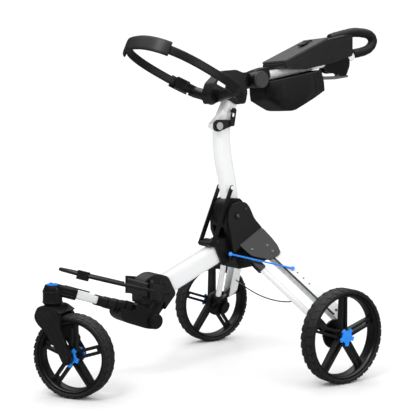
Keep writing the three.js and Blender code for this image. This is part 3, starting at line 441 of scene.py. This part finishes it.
def ring_round(centre, side, rise, half_side, half_rise, square=1.0, count=32):
    """Points of a rounded section: square 1 is an ellipse, smaller is squarer."""
    points = []
    for i in range(count):
        angle = math.tau * i / count
        a = math.copysign(abs(math.cos(angle)) ** square, math.cos(angle))
        b = math.copysign(abs(math.sin(angle)) ** square, math.sin(angle))
        points.append(centre + side * (a * half_side) + rise * (b * half_rise))
    return points


def tube(path, side, half_side, half_rise, square=1.0, count=32):
    """Rings along a path; side is fixed, the rise is square to both, and sizes may be functions of 0 to 1."""
    rings = []
    last = len(path) - 1
    for i, point in enumerate(path):
        along = (path[min(i + 1, last)] - path[max(i - 1, 0)]).normalized()
        rise = side.cross(along).normalized()
        share = i / last
        wide = half_side(share) if callable(half_side) else half_side
        tall = half_rise(share) if callable(half_rise) else half_rise
        rings.append(ring_round(point, side, rise, wide, tall, square, count))
    return rings


SIDEWAYS = Vector((1, 0, 0))
print("helpers ready")

# %% [markdown]
# ## Wheels
# A push cart's tyre is a solid foam-filled rubber ring. Its shape is one turned profile with a fine groove near
# each edge of the sidewall, and on its shoulders stands a row of long, low, slanted tread lugs that reach round
# onto the wall. One lug is a rounded block; it is repeated round the wheel, mirrored on the other shoulder.

# %% Tyres
LUGS = 34
SHOULDER_LEAN, WALL_LEAN = math.radians(16), math.radians(38)
SHOULDER_SHARE, WALL_SHARE = 0.78, 0.72  # how much of its stretch of tyre a lug takes up


def tyre_mesh(radius, place):
    crown = radius - 0.0014
    inner = radius - 0.0156
    half = TYRE_HALF
    profile = [(inner, -half + 0.006), (inner + 0.0025, -half + 0.002), (inner + 0.0045, -half + 0.0012),
               (inner + 0.0052, -half + 0.0022), (inner + 0.0062, -half + 0.0008),
               (crown - 0.0055, -half + 0.0012), (crown - 0.0018, -half + 0.006), (crown, -half + 0.013),
               (crown + 0.0008, 0), (crown, half - 0.013), (crown - 0.0018, half - 0.006),
               (crown - 0.0055, half - 0.0012),
               (inner + 0.0062, half - 0.0008), (inner + 0.0052, half - 0.0022),
               (inner + 0.0045, half - 0.0012), (inner + 0.0025, half - 0.002), (inner, half - 0.006)]
    bm = bmesh.new()
    turned_into(bm, profile, 96)
    for i in range(LUGS):
        for side in (-1, 1):
            angle = math.tau * (i + (0.5 if side > 0 else 0)) / LUGS
            spin = Matrix.Rotation(angle, 4, "X")
            lean = Matrix.Rotation(side * SHOULDER_LEAN, 4, "Z")
            top = spin @ Matrix.Translation((side * 0.0120, 0, radius - 0.0017)) @ lean
            block_into(bm, (0.0200, SHOULDER_SHARE * math.tau * radius / LUGS, 0.0030), top)
            wall = spin @ Matrix.Translation((side * (half - 0.0043), side * 0.0040, radius - 0.0058)) @ \
                Matrix.Rotation(side * WALL_LEAN, 4, "Y")
            block_into(bm, (0.0044, WALL_SHARE * math.tau * radius / LUGS, 0.0066), wall)
    bm.transform(place)
    return bm


REAR_PLACES = {side: Matrix.Translation((sign * TRACK_HALF, SHIFT, REAR_RADIUS))
               for side, sign in (("left", 1), ("right", -1))}
FRONT_PLACE = Matrix.Translation(FRONT_CENTRE) @ Matrix.Rotation(YAW, 4, "Z")
for side, place in REAR_PLACES.items():
    settle(f"tyre_rear_{side}", tyre_mesh(REAR_RADIUS, place), FINISHES["tyre_rubber"], f"wheel_{side}",
           (f"rear_tyre_{side}",), 0.0007, 1)
settle("tyre_front", tyre_mesh(FRONT_RADIUS, FRONT_PLACE), FINISHES["tyre_rubber"], "front_wheel",
       ("front_tyre",), 0.0007, 1)
print("tyres", LUGS * 2, "lugs each")

# %% [markdown]
# The rim is moulded in one piece: a channel-shaped ring, five pairs of slim bars and a hub barrel. Each bar is a
# tapered block, deeper at the hub than at the ring, and a web joins the two bars of a pair near the ring.

# %% Rims
SPOKES = 5
AXLE_HOLE = 0.0075
BAR_APART = 0.017
BAR_X = 0.001
BAR_TAPER = 0.28


def rim_mesh(radius, place, hub, inner_x, outer_x, flip):
    outer = radius - 0.0160
    inner = outer - 0.0095
    half = TYRE_HALF - 0.0065
    bm = bmesh.new()
    profile = [(outer, -half), (outer, half), (outer - 0.0030, half + 0.0008),
               (outer - 0.0055, half - 0.0015), (inner + 0.002, half - 0.005), (inner, half - 0.009),
               (inner, -half + 0.009), (inner + 0.002, -half + 0.005),
               (outer - 0.0055, -half + 0.0015), (outer - 0.0030, -half - 0.0008)]
    turned_into(bm, profile, 96)
    barrel = [(AXLE_HOLE, inner_x), (hub - 0.002, inner_x), (hub, inner_x + 0.002), (hub, -0.006),
              (hub + 0.003, -0.004), (hub + 0.003, 0.004), (hub, 0.006), (hub, outer_x - 0.002),
              (hub - 0.002, outer_x), (AXLE_HOLE, outer_x)]
    turned_into(bm, barrel, 48)
    for i in range(SPOKES):
        spin = Matrix.Rotation(math.tau * i / SPOKES, 4, "X")
        for side in (-1, 1):
            middle = side * BAR_APART / 2
            reach = math.sqrt(inner * inner - middle * middle) + 0.001
            start = hub * 0.7
            shape = Matrix.Translation((BAR_X, middle, (start + reach) / 2)) @ \
                Matrix.Diagonal((0.020, 0.0088, reach - start, 1))
            bar = bmesh.ops.create_cube(bm, size=1, matrix=spin @ shape)
            axis = spin @ Vector((0, 0, 1))
            for vert in bar["verts"]:
                share = (vert.co.dot(axis) - start) / (reach - start)
                vert.co.x = BAR_X + (vert.co.x - BAR_X) * (1.0 - BAR_TAPER * share)
        web = spin @ Matrix.Translation((0.0, 0, inner - 0.0075))
        block_into(bm, (0.010, 0.0160, 0.014), web)
    bm.transform(place @ Matrix.Diagonal((flip, 1, 1, 1)))
    return bm


for side, place in REAR_PLACES.items():
    sign = 1 if side == "left" else -1
    settle(f"rim_rear_{side}", rim_mesh(REAR_RADIUS, place, 0.021, -0.024, 0.017, sign),
           FINISHES["black_plastic"], f"wheel_{side}", (f"rear_rim_{side}",), 0.0011, 2)
settle("rim_front", rim_mesh(FRONT_RADIUS, FRONT_PLACE, 0.021, -0.018, 0.018, 1), FINISHES["black_plastic"],
       "front_wheel", ("front_rim",), 0.0011, 2)
print("rims done")

# %% [markdown]
# Each hub carries a blue cap: a low dome with five short claws that grip between the spokes. The rear caps
# have a round button in the middle, which is pressed to take the wheel off.

# %% Blue hub caps


def cap_mesh(place, sign, base, high):
    bm = bmesh.new()
    dome = [(0.0, base), (0.0196, base), (0.0196, base + high * 0.5), (0.0172, base + high * 0.88),
            (0.0120, base + high), (0.0, base + high)]
    turned_into(bm, dome, 40)
    for i in range(SPOKES):
        spin = Matrix.Rotation(math.tau * (i + 0.5) / SPOKES, 4, "X")
        claw = spin @ Matrix.Translation((base + high * 0.42, 0, 0.0205))
        block_into(bm, (high * 0.8, 0.0136, 0.0150), claw, 0.0016)
    bm.transform(place @ Matrix.Diagonal((sign, 1, 1, 1)))
    return bm


def button_mesh(place, sign, base):
    profile = [(0.0, base), (0.0088, base), (0.0088, base + 0.0012), (0.0074, base + 0.0022),
               (0.0, base + 0.0024)]
    return spun(profile, place @ Matrix.Diagonal((sign, 1, 1, 1)), 32)


for side, place in REAR_PLACES.items():
    sign = 1 if side == "left" else -1
    settle(f"cap_{side}", cap_mesh(place, sign, 0.0204, 0.007), FINISHES["blue_accent"], f"cap_{side}",
           (f"hub_cap_{side}",), 0.0005)
    settle(f"cap_button_{side}", button_mesh(place, sign, 0.0268), FINISHES["blue_accent"], f"cap_{side}", (),
           0.0002)
softened("front_hub")
settle("front_cap", cap_mesh(FRONT_PLACE, 1, 0.0186, 0.0078), FINISHES["blue_accent"], "front_wheel", (),
       0.0005)
print("caps done")

# %% [markdown]
# ## White tubes
# The mast, the upper tube and the main tube are metal tubes with a rounded section, painted gloss white. The
# main tube is straight and the other two are bent. Each is a loft of rounded rings along the tube's own line, so
# its highlight runs unbroken.

# %% Mast, upper tube and main tube
MAIN_TURN = Matrix.Translation(at(0, -338, 330)) @ Matrix.Rotation(math.radians(24.5), 4, "X")
mast_line = path_through([at(0, y, z) for y, z in
                          [(-178, 478), (-179, 547), (-190, 612), (-204, 672), (-212, 725), (-213, 779)]], 48)
WHITE = FINISHES["white_gloss_paint"]
settle("mast_tube", loft(tube(mast_line, SIDEWAYS, 0.022, 0.025, 0.55, 40)), WHITE, "mast", ("mast",), 0.0006)
softened("mast_foot")
upper_line = path_through([at(0, y, z) for y, z in
                           [(-213, 780.5), (-205, 814), (-188, 850), (-176, 884)]], 24)
settle("upper_tube_skin", loft(tube(upper_line, SIDEWAYS, 0.020, 0.023, 0.55, 40)), WHITE, "upper",
       ("upper_tube",), 0.0006)
main_line = [MAIN_TURN @ Vector((0, t * MM, 0)) for t in range(-118, 169, 13)]
settle("main_tube_skin", loft(tube(main_line, SIDEWAYS, 0.022, 0.032, 0.5, 48)), WHITE, "frame",
       ("main_tube",), 0.0008)


def plate_into(bm, outline, low, high, place=None):
    """A plate with a side outline of (y, z) in drawing millimetres, from x low to x high."""
    verts = [bm.verts.new(at(low, y, z) if place is None else place @ Vector((low * MM, y * MM, z * MM)))
             for y, z in outline]
    face = bm.faces.new(verts)
    made = bmesh.ops.extrude_face_region(bm, geom=[face])
    moved = [v for v in made["geom"] if isinstance(v, bmesh.types.BMVert)]
    along = Vector((1, 0, 0)) if place is None else place.to_3x3() @ Vector((1, 0, 0))
    bmesh.ops.translate(bm, verts=moved, vec=along * ((high - low) * MM))


HINGE = (-244, 783)
lug = bmesh.new()
plate_into(lug, [(-252, 778), (-246, 774), (-228, 752), (-226, 776), (-232, 792), (-246, 791)], -12, 12)
rod_into(lug, at(-39, -195, 588), at(39, -195, 588), 0.0062)
settle("mast_lug", lug, WHITE, "mast", (), 0.0012)
ears = bmesh.new()
for low, high in ((12.6, 20), (-20, -12.6)):
    plate_into(ears, [(-252, 780), (-246, 775), (-237, 779), (-212, 800), (-216, 824), (-250, 792)], low,
               high)
rod_into(ears, at(-24, *HINGE), at(30, *HINGE), 0.005)
link_pin = bmesh.new()
rod_into(link_pin, at(0, -190, 831), at(37, -190, 831), 0.004)
rod_into(link_pin, at(36.6, -190, 831), at(38.4, -190, 831), 0.0076)
settle("link_pin", link_pin, FINISHES["black_plastic"], "upper", (), 0.0006)
settle("upper_ears", ears, WHITE, "upper", (), 0.001)
disc = spun([(0.0, 0.0339), (0.0120, 0.0339), (0.0120, 0.0362), (0.0104, 0.0372), (0.0, 0.0374)],
            Matrix.Translation(at(0, *HINGE)), 40)
settle("lever_disc", disc, pale, "lever", (), 0.0003)
print("mast", len(mast_line), "rings")

# %% [markdown]
# Most other pieces keep the shape of their CAD solid and get rounded edges, such as the hub's housing and covers,
# the leg channels with their row of holes, the carriers, the collar, the struts, the knuckle and the sleeve.

# %% Pieces that keep their CAD shape
ROUNDED = {
    "hub_housing": 0.002, "hub_cover_left": 0.0022, "hub_cover_right": 0.0022, "sliding_collar": 0.0018,
    "leg_channel_left": 0.0016, "leg_channel_right": 0.0016, "leg_tube_left": 0.0006, "leg_tube_right": 0.0006,
    "leg_hub_socket_left": 0.0016, "leg_hub_socket_right": 0.0016, "leg_wheel_socket_left": 0.0016,
    "leg_wheel_socket_right": 0.0016, "wheel_carrier_left": 0.0016, "wheel_carrier_right": 0.0016,
    "tie_rod_left": 0.0005, "tie_rod_right": 0.0005, "strut_left": 0.0009, "strut_right": 0.0009,
    "mast_pivot_bolt": 0.0008, "fold_latch": 0.0008, "bag_bracket": 0.0018, "lower_strap_clip": 0.0012,
    "front_knuckle": 0.0018, "front_arm_tube": 0.001, "lock_sleeve": 0.0014, "front_hinge_bolt": 0.0009,
    "steering_head": 0.0014, "swivel_lock": 0.0008, "fork": 0.0022, "front_axle": 0.0008,
    "upper_cradle": 0.0018, "lock_lever": 0.0009, "lock_link": 0.0009, "stem_clevis": 0.0016,
    "angle_knob": 0.0016, "console_base": 0.002, "console_lid": 0.0014, "lever_bracket": 0.0012,
    "strap_buckle": 0.0009, "handle_stem": 0.0006, "brake_lever": 0.0012,
}
for node, width in ROUNDED.items():
    softened(node, bevel=width)
print(len(ROUNDED), "pieces rounded")

# %% [markdown]
# ## Small parts
# Screws, ribs and raised panels tell the eye how big the cart is. A screw is a turned head with a round socket.
# Each is placed by a point and the direction that its head faces.

# %% Leg axes and screws
LEG_X = Vector((0.6761, 0.3851, -0.6281)).normalized()
LEG_Y = Vector((0.0025, 0.8513, 0.5246))
LEG_Y = (LEG_Y - LEG_X * LEG_Y.dot(LEG_X)).normalized()
LEG_Z = LEG_X.cross(LEG_Y)
LEG_START = at(75, -81, 393)


def leg_point(u, v, w):
    return LEG_START + (LEG_X * u + LEG_Y * v + LEG_Z * w) * MM


def mirrored_point(point, sign):
    return Vector((point.x * sign, point.y, point.z))


def absorb(bm, other):
    """Adds another bmesh's shape to bm and frees it."""
    spare = bpy.data.meshes.new("spare")
    other.to_mesh(spare)
    other.free()
    bm.from_mesh(spare)
    bpy.data.meshes.remove(spare)


def facing(point, direction):
    return Matrix.Translation(point) @ Vector(direction).to_track_quat("X", "Z").to_matrix().to_4x4()


def screw_into(bm, point, direction, radius=0.0042, high=0.0018):
    head = [(0.0, high * 0.3), (radius * 0.5, high * 0.3), (radius * 0.5, high), (radius * 0.85, high),
            (radius, high * 0.6), (radius, -0.0015), (0.0, -0.0015)]
    absorb(bm, spun(head, facing(point, direction), 24))


def raised(bm, corners, vec):
    """A plate with these corners, thickened along vec."""
    made = bmesh.ops.extrude_face_region(bm, geom=[bm.faces.new([bm.verts.new(corner) for corner in corners])])
    bmesh.ops.translate(bm, verts=[v for v in made["geom"] if isinstance(v, bmesh.types.BMVert)], vec=vec)


COVER_FACE = 22.4  # outer face of the hub cover's lower panel, from the leg's middle plane
CHANNEL_FACE = 15
SIDES = (("left", 1), ("right", -1))
for side, sign in SIDES:
    heads = bmesh.new()
    out = mirrored_point(LEG_Z, sign)
    for u, v in ((0, -4), (26, -6), (-22, -52)):
        screw_into(heads, mirrored_point(leg_point(u, v, COVER_FACE), sign), out)
    screw_into(heads, at(sign * 52, -150, 520), (sign, 0, 0), 0.0032)
    screw_into(heads, at(sign * 56.4, -184, 499), (sign, 0, 0), 0.0062, 0.0016)
    settle(f"hub_screws_{side}", heads, steel, "frame", (), 0.0003)
    rivets = bmesh.new()
    for u in (18, 300):
        screw_into(rivets, mirrored_point(leg_point(u, 0, CHANNEL_FACE), sign), out, 0.0046, 0.002)
    settle(f"leg_rivets_{side}", rivets, steel, f"leg_{side}", (), 0.0003)
print("screws on", len(SIDES), "sides")

# %% [markdown]
# A thin black strip along the open edge of each leg's channel is painted shade: it stands in for the shadow gap
# between the channel and the leg's tube.

# %% Painted shade along the leg channels
# Painted shade: where the black strip lies on each channel, end to end and edge to edge, and how thick it is.
GAP_SHADE_ENDS, GAP_SHADE_EDGES = (8, 306), (-20.6, -13.6)
GAP_SHADE_THICK = 0.0011
for side, sign in SIDES:
    shade_sheet = bmesh.new()
    (near, far), (low, high) = GAP_SHADE_ENDS, GAP_SHADE_EDGES
    corners = [mirrored_point(leg_point(u, v, CHANNEL_FACE - 0.4), sign)
               for u, v in ((near, low), (far, low), (far, high), (near, high))]
    raised(shade_sheet, corners, mirrored_point(LEG_Z, sign) * GAP_SHADE_THICK)
    # The black strip is painted shade for the shadowed gap between the channel and the tube.
    settle(f"leg_gap_shade_{side}", shade_sheet, FINISHES["black_rubber"], f"leg_{side}", (), 0.0002)
print("painted_gap_shades", GAP_SHADE_ENDS[1] - GAP_SHADE_ENDS[0], "mm long")

# %% [markdown]
# Cast and moulded parts are stiffened with ribs: three on each cheek of the bag bracket, three down each blade
# of the fork, two round the steering head and a ring of small screws on each end of the front hinge.

# %% Ribs and rings
bracket_ribs = bmesh.new()
for sign in (1, -1):
    low, high = (31.5, 34.2) if sign > 0 else (-34.2, -31.5)
    for outline in ([(-508, 300), (-503, 306), (-424, 268), (-427, 261)],
                    [(-497, 228), (-491, 226), (-448, 318), (-455, 320)],
                    [(-476, 214), (-471, 211), (-414, 284), (-420, 288)]):
        plate_into(bracket_ribs, outline, low, high)
    for y, z in ((-488, 312), (-440, 300), (-474, 248)):
        screw_into(bracket_ribs, at(sign * 32, y, z), (sign, 0, 0), 0.0048, 0.003)
settle("bracket_ribs", bracket_ribs, FINISHES["charcoal_plastic"], "frame", (), 0.0007)

ARM_HINGE = (-480, 188)
BOSS_SCREWS = 6
boss = bmesh.new()
for sign in (1, -1):
    rings = [(0.0125, 0.0440), (0.0205, 0.0440), (0.0205, 0.0462), (0.0190, 0.0468), (0.0140, 0.0468),
             (0.0125, 0.0460)]
    absorb(boss, spun(rings, Matrix.Translation(at(0, *ARM_HINGE)) @ Matrix.Diagonal((sign, 1, 1, 1)), 48))
    for i in range(BOSS_SCREWS):
        spot = Matrix.Rotation(math.tau * i / BOSS_SCREWS, 4, "X") @ Vector((0, 0, 0.0166))
        screw_into(boss, at(sign * 46.8, *ARM_HINGE) + spot, (sign, 0, 0), 0.0016, 0.0008)
settle("knuckle_rings", boss, FINISHES["black_plastic"], "front_arm", (), 0.0004)

STEERING = at(0, -803, 0)
FORK_TURN = Matrix.Translation(STEERING) @ Matrix.Rotation(YAW, 4, "Z")
ridges = bmesh.new()
for low, high in ((43.6, 45.4), (-45.4, -43.6)):
    for outline in ([(-26, 226), (-21, 231), (6, 206), (54, 139), (49, 135), (2, 200)],
                    [(-12, 238), (-6, 242), (22, 216), (62, 150), (57, 146), (17, 210)],
                    [(4, 246), (10, 248), (36, 224), (68, 164), (63, 160), (31, 218)]):
        plate_into(ridges, outline, low, high, FORK_TURN)
settle("fork_ridges", ridges, FINISHES["black_plastic"], "caster", (), 0.0006)

collars = bmesh.new()
head_place = Matrix.Translation(STEERING) @ Matrix.Rotation(math.radians(-90), 4, "Y")
for z in (270.5, 300.5):
    ring = [(0.0270, z * MM), (0.0292, (z + 0.8) * MM), (0.0292, (z + 3.4) * MM), (0.0270, (z + 4.2) * MM)]
    absorb(collars, spun(ring, head_place, 56))
settle("head_rings", collars, FINISHES["black_plastic"], "front_arm", (), 0.0003)

print("ribs and rings placed")

# %% [markdown]
# The console has a raised panel with three screws on each side, its lid a small clasp, and the angle knob a
# grey face.

# %% Console panels, clasp and knob face
panels = bmesh.new()
for sign in (1, -1):
    low, high = (61.8, 63.0) if sign > 0 else (-63.0, -61.8)
    plate_into(panels, [(16, 987), (74, 981), (200, 1010), (276, 1034), (276, 1087), (182, 1069)], low, high)
    for y, z, radius, tall in ((196, 1018, 0.0038, 0.0016), (264, 1042, 0.0038, 0.0016),
                               (34, 990, 0.0032, 0.0014)):
        screw_into(panels, at(sign * 63.0, y, z), (sign, 0, 0), radius, tall)
settle("console_panels", panels, FINISHES["charcoal_plastic"], "handle", (), 0.0005)

lid_turn = Matrix.Translation(at(0, 120, 1057)) @ Matrix.Rotation(math.atan2(84.5, 180), 4, "X")
clasp = bmesh.new()
block_into(clasp, (0.024, 0.020, 0.006), lid_turn @ Matrix.Translation((0, 0, 0.005)), 0.0012)
for half_wide, y, z, radius in ((0.010, -0.014, 0.006, 0.0026), (0.008, 0.014, 0.007, 0.0034)):
    rod_into(clasp, lid_turn @ Vector((-half_wide, y, z)), lid_turn @ Vector((half_wide, y, z)), radius, 16)
settle("lid_clasp", clasp, FINISHES["black_plastic"], "lid", (), 0.0006)

knob_face = spun([(0.0, 0.0580), (0.0215, 0.0580), (0.0235, 0.0592), (0.0, 0.0592)],
                 Matrix.Translation(at(0, -97, 933)), 48)
settle("knob_face", knob_face, FINISHES["grey_plastic"], "knob", (), 0.0004)
print("console trimmed")

# %% [markdown]
# ## Straps
# The upper strap is a flat rubber band that holds the top of the bag. It leaves the cradle on one side, runs
# round in a squarish loop and comes back. It is a loft of flat rounded rings round that loop.

# %% Upper strap and its pad
STRAP_CENTRE = at(0, -355.6, 946.4)
STRAP_TILT = math.radians(-23.7)
STRAP_A, STRAP_B, STRAP_SQUARE = 0.134, 0.1867, 0.807
strap_turn = Matrix.Translation(STRAP_CENTRE) @ Matrix.Rotation(STRAP_TILT, 4, "X")


def squared(value):
    return math.copysign(abs(value) ** STRAP_SQUARE, value)


def loop_spot(angle, grow):
    """A point on the strap's loop at an angle, grow outside its inner face, in the loop's own plane."""
    return Vector(((STRAP_A + grow) * squared(math.sin(angle)), -(STRAP_B + grow) * squared(math.cos(angle)), 0))


def band(grow, thick, height, start, end, steps, wave=0.0):
    """Rings of a flat band round the strap's loop, from angle start to end; grow is its inner face's offset."""
    rings = []
    for i in range(steps + 1):
        angle = start + (end - start) * i / steps
        spot = loop_spot(angle, grow)
        outer = loop_spot(angle, grow + thick)
        out = outer - spot
        ends = min(1.0, 0.35 + 12 * min(i, steps - i) / steps)
        swell = 1 + wave * math.sin(i / steps * math.tau * 11)
        middle = (spot + outer) / 2
        ring = ring_round(middle, out.normalized(), Vector((0, 0, 1)), out.length / 2 * swell,
                          height / 2 * (ends if wave else 1), 0.5, 20)
        rings.append([strap_turn @ p for p in ring])
    return rings


OPEN = math.radians(50)
strap_rings = band(0.0004, 0.0054, 0.0276, -math.pi + OPEN, math.pi - OPEN, 150)
sleeve_rings = band(0.0066, 0.0066, 0.0458, math.radians(-38), math.radians(50), 64)
strap_pieces = [
    settle("strap_band", loft(strap_rings), webbing, "upper", ("upper_strap",), 0.0),
    settle("strap_sleeve", loft(sleeve_rings), FINISHES["black_rubber"], "upper", ("strap_pad",), 0.0016, 3)]
print("strap loop", round(2 * STRAP_A, 3), "by", round(2 * STRAP_B, 3))

# %% [markdown]
# Two curved arms with round ends hold the strap's ends to the cradle, each on a short cross bar with a screw.

# %% Cradle arms
arms = bmesh.new()
for sign in (1, -1):
    line = path_through([at(sign * x, y, z) for x, y, z in
                         [(116, -276, 911), (108, -245, 897), (92, -214, 879), (76, -186, 859)]], 20)
    rise = strap_turn.to_3x3() @ Vector((0, 0, 1))
    rings = []
    for i, point in enumerate(line):
        along = (line[min(i + 1, 20)] - line[max(i - 1, 0)]).normalized()
        across = along.cross(rise).normalized()
        end = math.sqrt(max(0.04, 1 - (max(0, i - 16) / 4) ** 2))
        rings.append(ring_round(point, across, rise, 0.0046, 0.0158 * end, 0.5, 20))
    absorb(arms, loft(rings))
    rod_into(arms, line[12] - Vector((sign * 0.052, 0, 0)), line[12], 0.0085)
    screw_into(arms, line[15] + Vector((sign * 0.004, -0.002, 0)), (sign, -0.5, 0), 0.0042, 0.0018)
settle("cradle_arms", arms, FINISHES["black_plastic"], "upper", (), 0.0008)

print("cradle arms", len(line), "rings each")

# %% [markdown]
# The buckle stands on the strap's right side. It has a raised grip with fine ribs across it, and a small block
# beside it. The strap's pieces and the buckle then each get a mesh of their own.

# %% Buckle grip, and the strap's own meshes
BUCKLE_AT = math.radians(-103)
grips = bmesh.new()
for start, length, grow, thick, tall in ((-4.5, 20, 0.0062, 0.0046, 0.040), (17.5, 7, 0.0062, 0.0090, 0.036)):
    first = BUCKLE_AT - math.radians(start) - math.radians(length)
    absorb(grips, loft(band(grow, thick, tall, first, first + math.radians(length), 10)))
for i in range(6):
    first = BUCKLE_AT + math.radians(1.5 - 3.0 * i)
    absorb(grips, loft(band(0.0106, 0.0024, 0.036, first - math.radians(1.1), first, 2)))
strap_pieces += [settle("buckle_ribs", grips, FINISHES["black_plastic"], "upper", (), 0.0008),
                 bpy.data.objects["shown_strap_buckle"]]
for piece in strap_pieces:
    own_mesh(piece)
print("squashed", len(strap_pieces), "pieces")

# %% [markdown]
# The lower strap is a stiff rubber cord that holds the foot of the bag. Its clip is the hook that is undone to
# take the bag off. The loop is a loft of round rings.

# %% Lower strap
LOWER_TURN = Matrix.Translation(at(0, -512, 289)) @ Matrix.Rotation(math.radians(-15.8), 4, "X")
half, reach = 92, -262
one_side = [(half - 4, -6), (half + 10, -70), (half + 14, -140), (half - 4, reach + 48), (half - 48, reach + 8)]
loop_points = one_side + [(0, reach)] + [(-x, y) for x, y in reversed(one_side)]
loop_line = [LOWER_TURN @ p for p in path_through([Vector((x * MM, y * MM, 0)) for x, y in loop_points], 160)]
rise = (LOWER_TURN.to_3x3() @ Vector((0, 0, 1))).normalized()
settle("lower_cord", loft(tube(loop_line, rise, 0.0053, 0.0053, 1.0, 18)), FINISHES["black_rubber"], "frame",
       ("lower_strap",), 0.0)
print("lower loop", len(loop_line), "rings")

# %% [markdown]
# ## Handle
# The grip is a foam sleeve over a bent tube. Foam grips are cut with a row of shallow rings so that a hand
# doesn't slide; here each ring is a dip in the loft's radius.

# %% Grip
grip_points = [(343, 1041), (395, 1053), (425, 1067), (440, 1089), (431, 1107), (405, 1116), (350, 1116),
               (307, 1107), (262, 1095), (238, 1087)]
grip_line = path_through([at(0, y, z) for y, z in grip_points], 180)


def grip_radius(share):
    ring = 1 - 0.055 * max(0.0, math.cos(share * math.tau * 13)) ** 6
    return 0.0162 * ring


settle("grip_foam", loft(tube(grip_line, SIDEWAYS, grip_radius, grip_radius, 1.0, 32)), foam, "handle",
       ("handle_grip",), 0.0)
print("grip", round(sum((a - b).length for a, b in zip(grip_line, grip_line[1:])), 3), "m")

# %% [markdown]
# The net bag hangs under the console. Its cloth is gathered at the top, so soft folds run down its walls and
# fade out at the flat bottom. It is a loft from its rim down to its foot, with the folds as a wave in each
# ring that deepens in the middle, and a thin wall from a Solidify modifier.

# %% Net bag
FOLDS = 46
WALL_ROOM = 0.9  # mm between the outline and the middle of the folds
HALF_LENGTH = 110
SQUARENESS = 0.24  # the power that squares a ring's corners
levels = [(0.0, (-66, 928), (160, 976), 64), (0.06, (-66.5, 917), (162, 966), 65),
          (0.3, (-65, 893), (171, 936), 65), (0.5, (-61, 868), (175, 908), 64),
          (0.68, (-38, 857), (136, 884), 62), (0.84, (-14, 845.5), (92, 860), 58),
          (0.95, (1, 838), (56, 840), 50), (1.0, (8, 836), (46, 836.5), 40)]


def bag_ring(level, front, rear, wide, count=322):
    ring = []
    depth = math.sin(math.pi * min(1, level * 1.15)) * 1.1
    for i in range(count):
        angle = math.tau * i / count
        fold = depth * math.sin(FOLDS * angle + 1.3 * math.sin(3 * angle) + level * 1.5)
        a = math.copysign(abs(math.cos(angle)) ** SQUARENESS, math.cos(angle))
        b = math.copysign(abs(math.sin(angle)) ** SQUARENESS, math.sin(angle))
        share = (1 + a * (1 - (WALL_ROOM + fold) / HALF_LENGTH)) / 2
        y = front[0] + (rear[0] - front[0]) * share
        z = front[1] + (rear[1] - front[1]) * share
        ring.append(at(b * (wide - WALL_ROOM - fold), y, z))
    return ring


def eased(low, high, share):
    return tuple(a + (b - a) * share for a, b in zip(low, high))


bag_rings = []
for (s0, f0, r0, w0), (s1, f1, r1, w1) in zip(levels, levels[1:]):
    for k in range(4):
        t = k / 4
        bag_rings.append(bag_ring(s0 + (s1 - s0) * t, eased(f0, f1, t), eased(r0, r1, t), w0 + (w1 - w0) * t))
bag_rings.append(bag_ring(*levels[-1]))
bag = loft(bag_rings, caps=False)
bmesh.ops.contextual_create(bag, geom=[e for e in bag.edges if e.is_boundary and
                                       max(v.co.z for v in e.verts) < at(0, 0, 842).z])
net = settle("net_bag_cloth", bag, FINISHES["black_net"], "handle", ("net_bag",), 0.0)
wall = net.modifiers.new("cloth", "SOLIDIFY")
wall.thickness = 0.0014
wall.offset = -1
print("bag", len(bag_rings), "rings")

# %% [markdown]
# ## Brake cable
# The cable that works the drum brakes leaves the left leg's tube, hangs in a shallow bow behind the folding
# link and goes into the right leg's channel. It is held at both ends, so it is short and its path is known.

# %% Cable
cable_points = [(184, -66.5, 239.9), (168, -59, 229), (90, -48, 219), (-10, -28, 216), (-110, -4, 221),
                (-200, 20, 231), (-217.2, 12.6, 241.2)]
CABLE_THICK = 0.004
cable_line = path_through([at(*p) for p in cable_points], 30)
curve = bpy.data.curves.new("brake_cable_line", "CURVE")
curve.dimensions = "3D"
curve.bevel_depth = CABLE_THICK / 2
curve.bevel_resolution = 4
curve.use_fill_caps = True
spline = curve.splines.new("POLY")
spline.points.add(len(cable_line) - 1)
for point, place in zip(spline.points, cable_line):
    point.co = (*place, 1)
cable = bpy.data.objects.new("cable_sheath", curve)
scene.collection.objects.link(cable)
curve.materials.append(FINISHES["black_rubber"])
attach(cable, "frame")
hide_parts("brake_cable")

# %% [markdown]
# ## Floor
# The floor is one large pale sheet. It isn't part of the cart, so it moves with none of the cart's bodies.

# %% Floor
ground = bmesh.new()
bmesh.ops.create_grid(ground, x_segments=2, y_segments=2, size=30)
ground_mesh = bpy.data.meshes.new("floor")
ground.to_mesh(ground_mesh)
ground.free()
ground_mesh.materials.append(floor_paint)
floor = bpy.data.objects.new("floor", ground_mesh)
scene.collection.objects.link(floor)
print("floor laid")
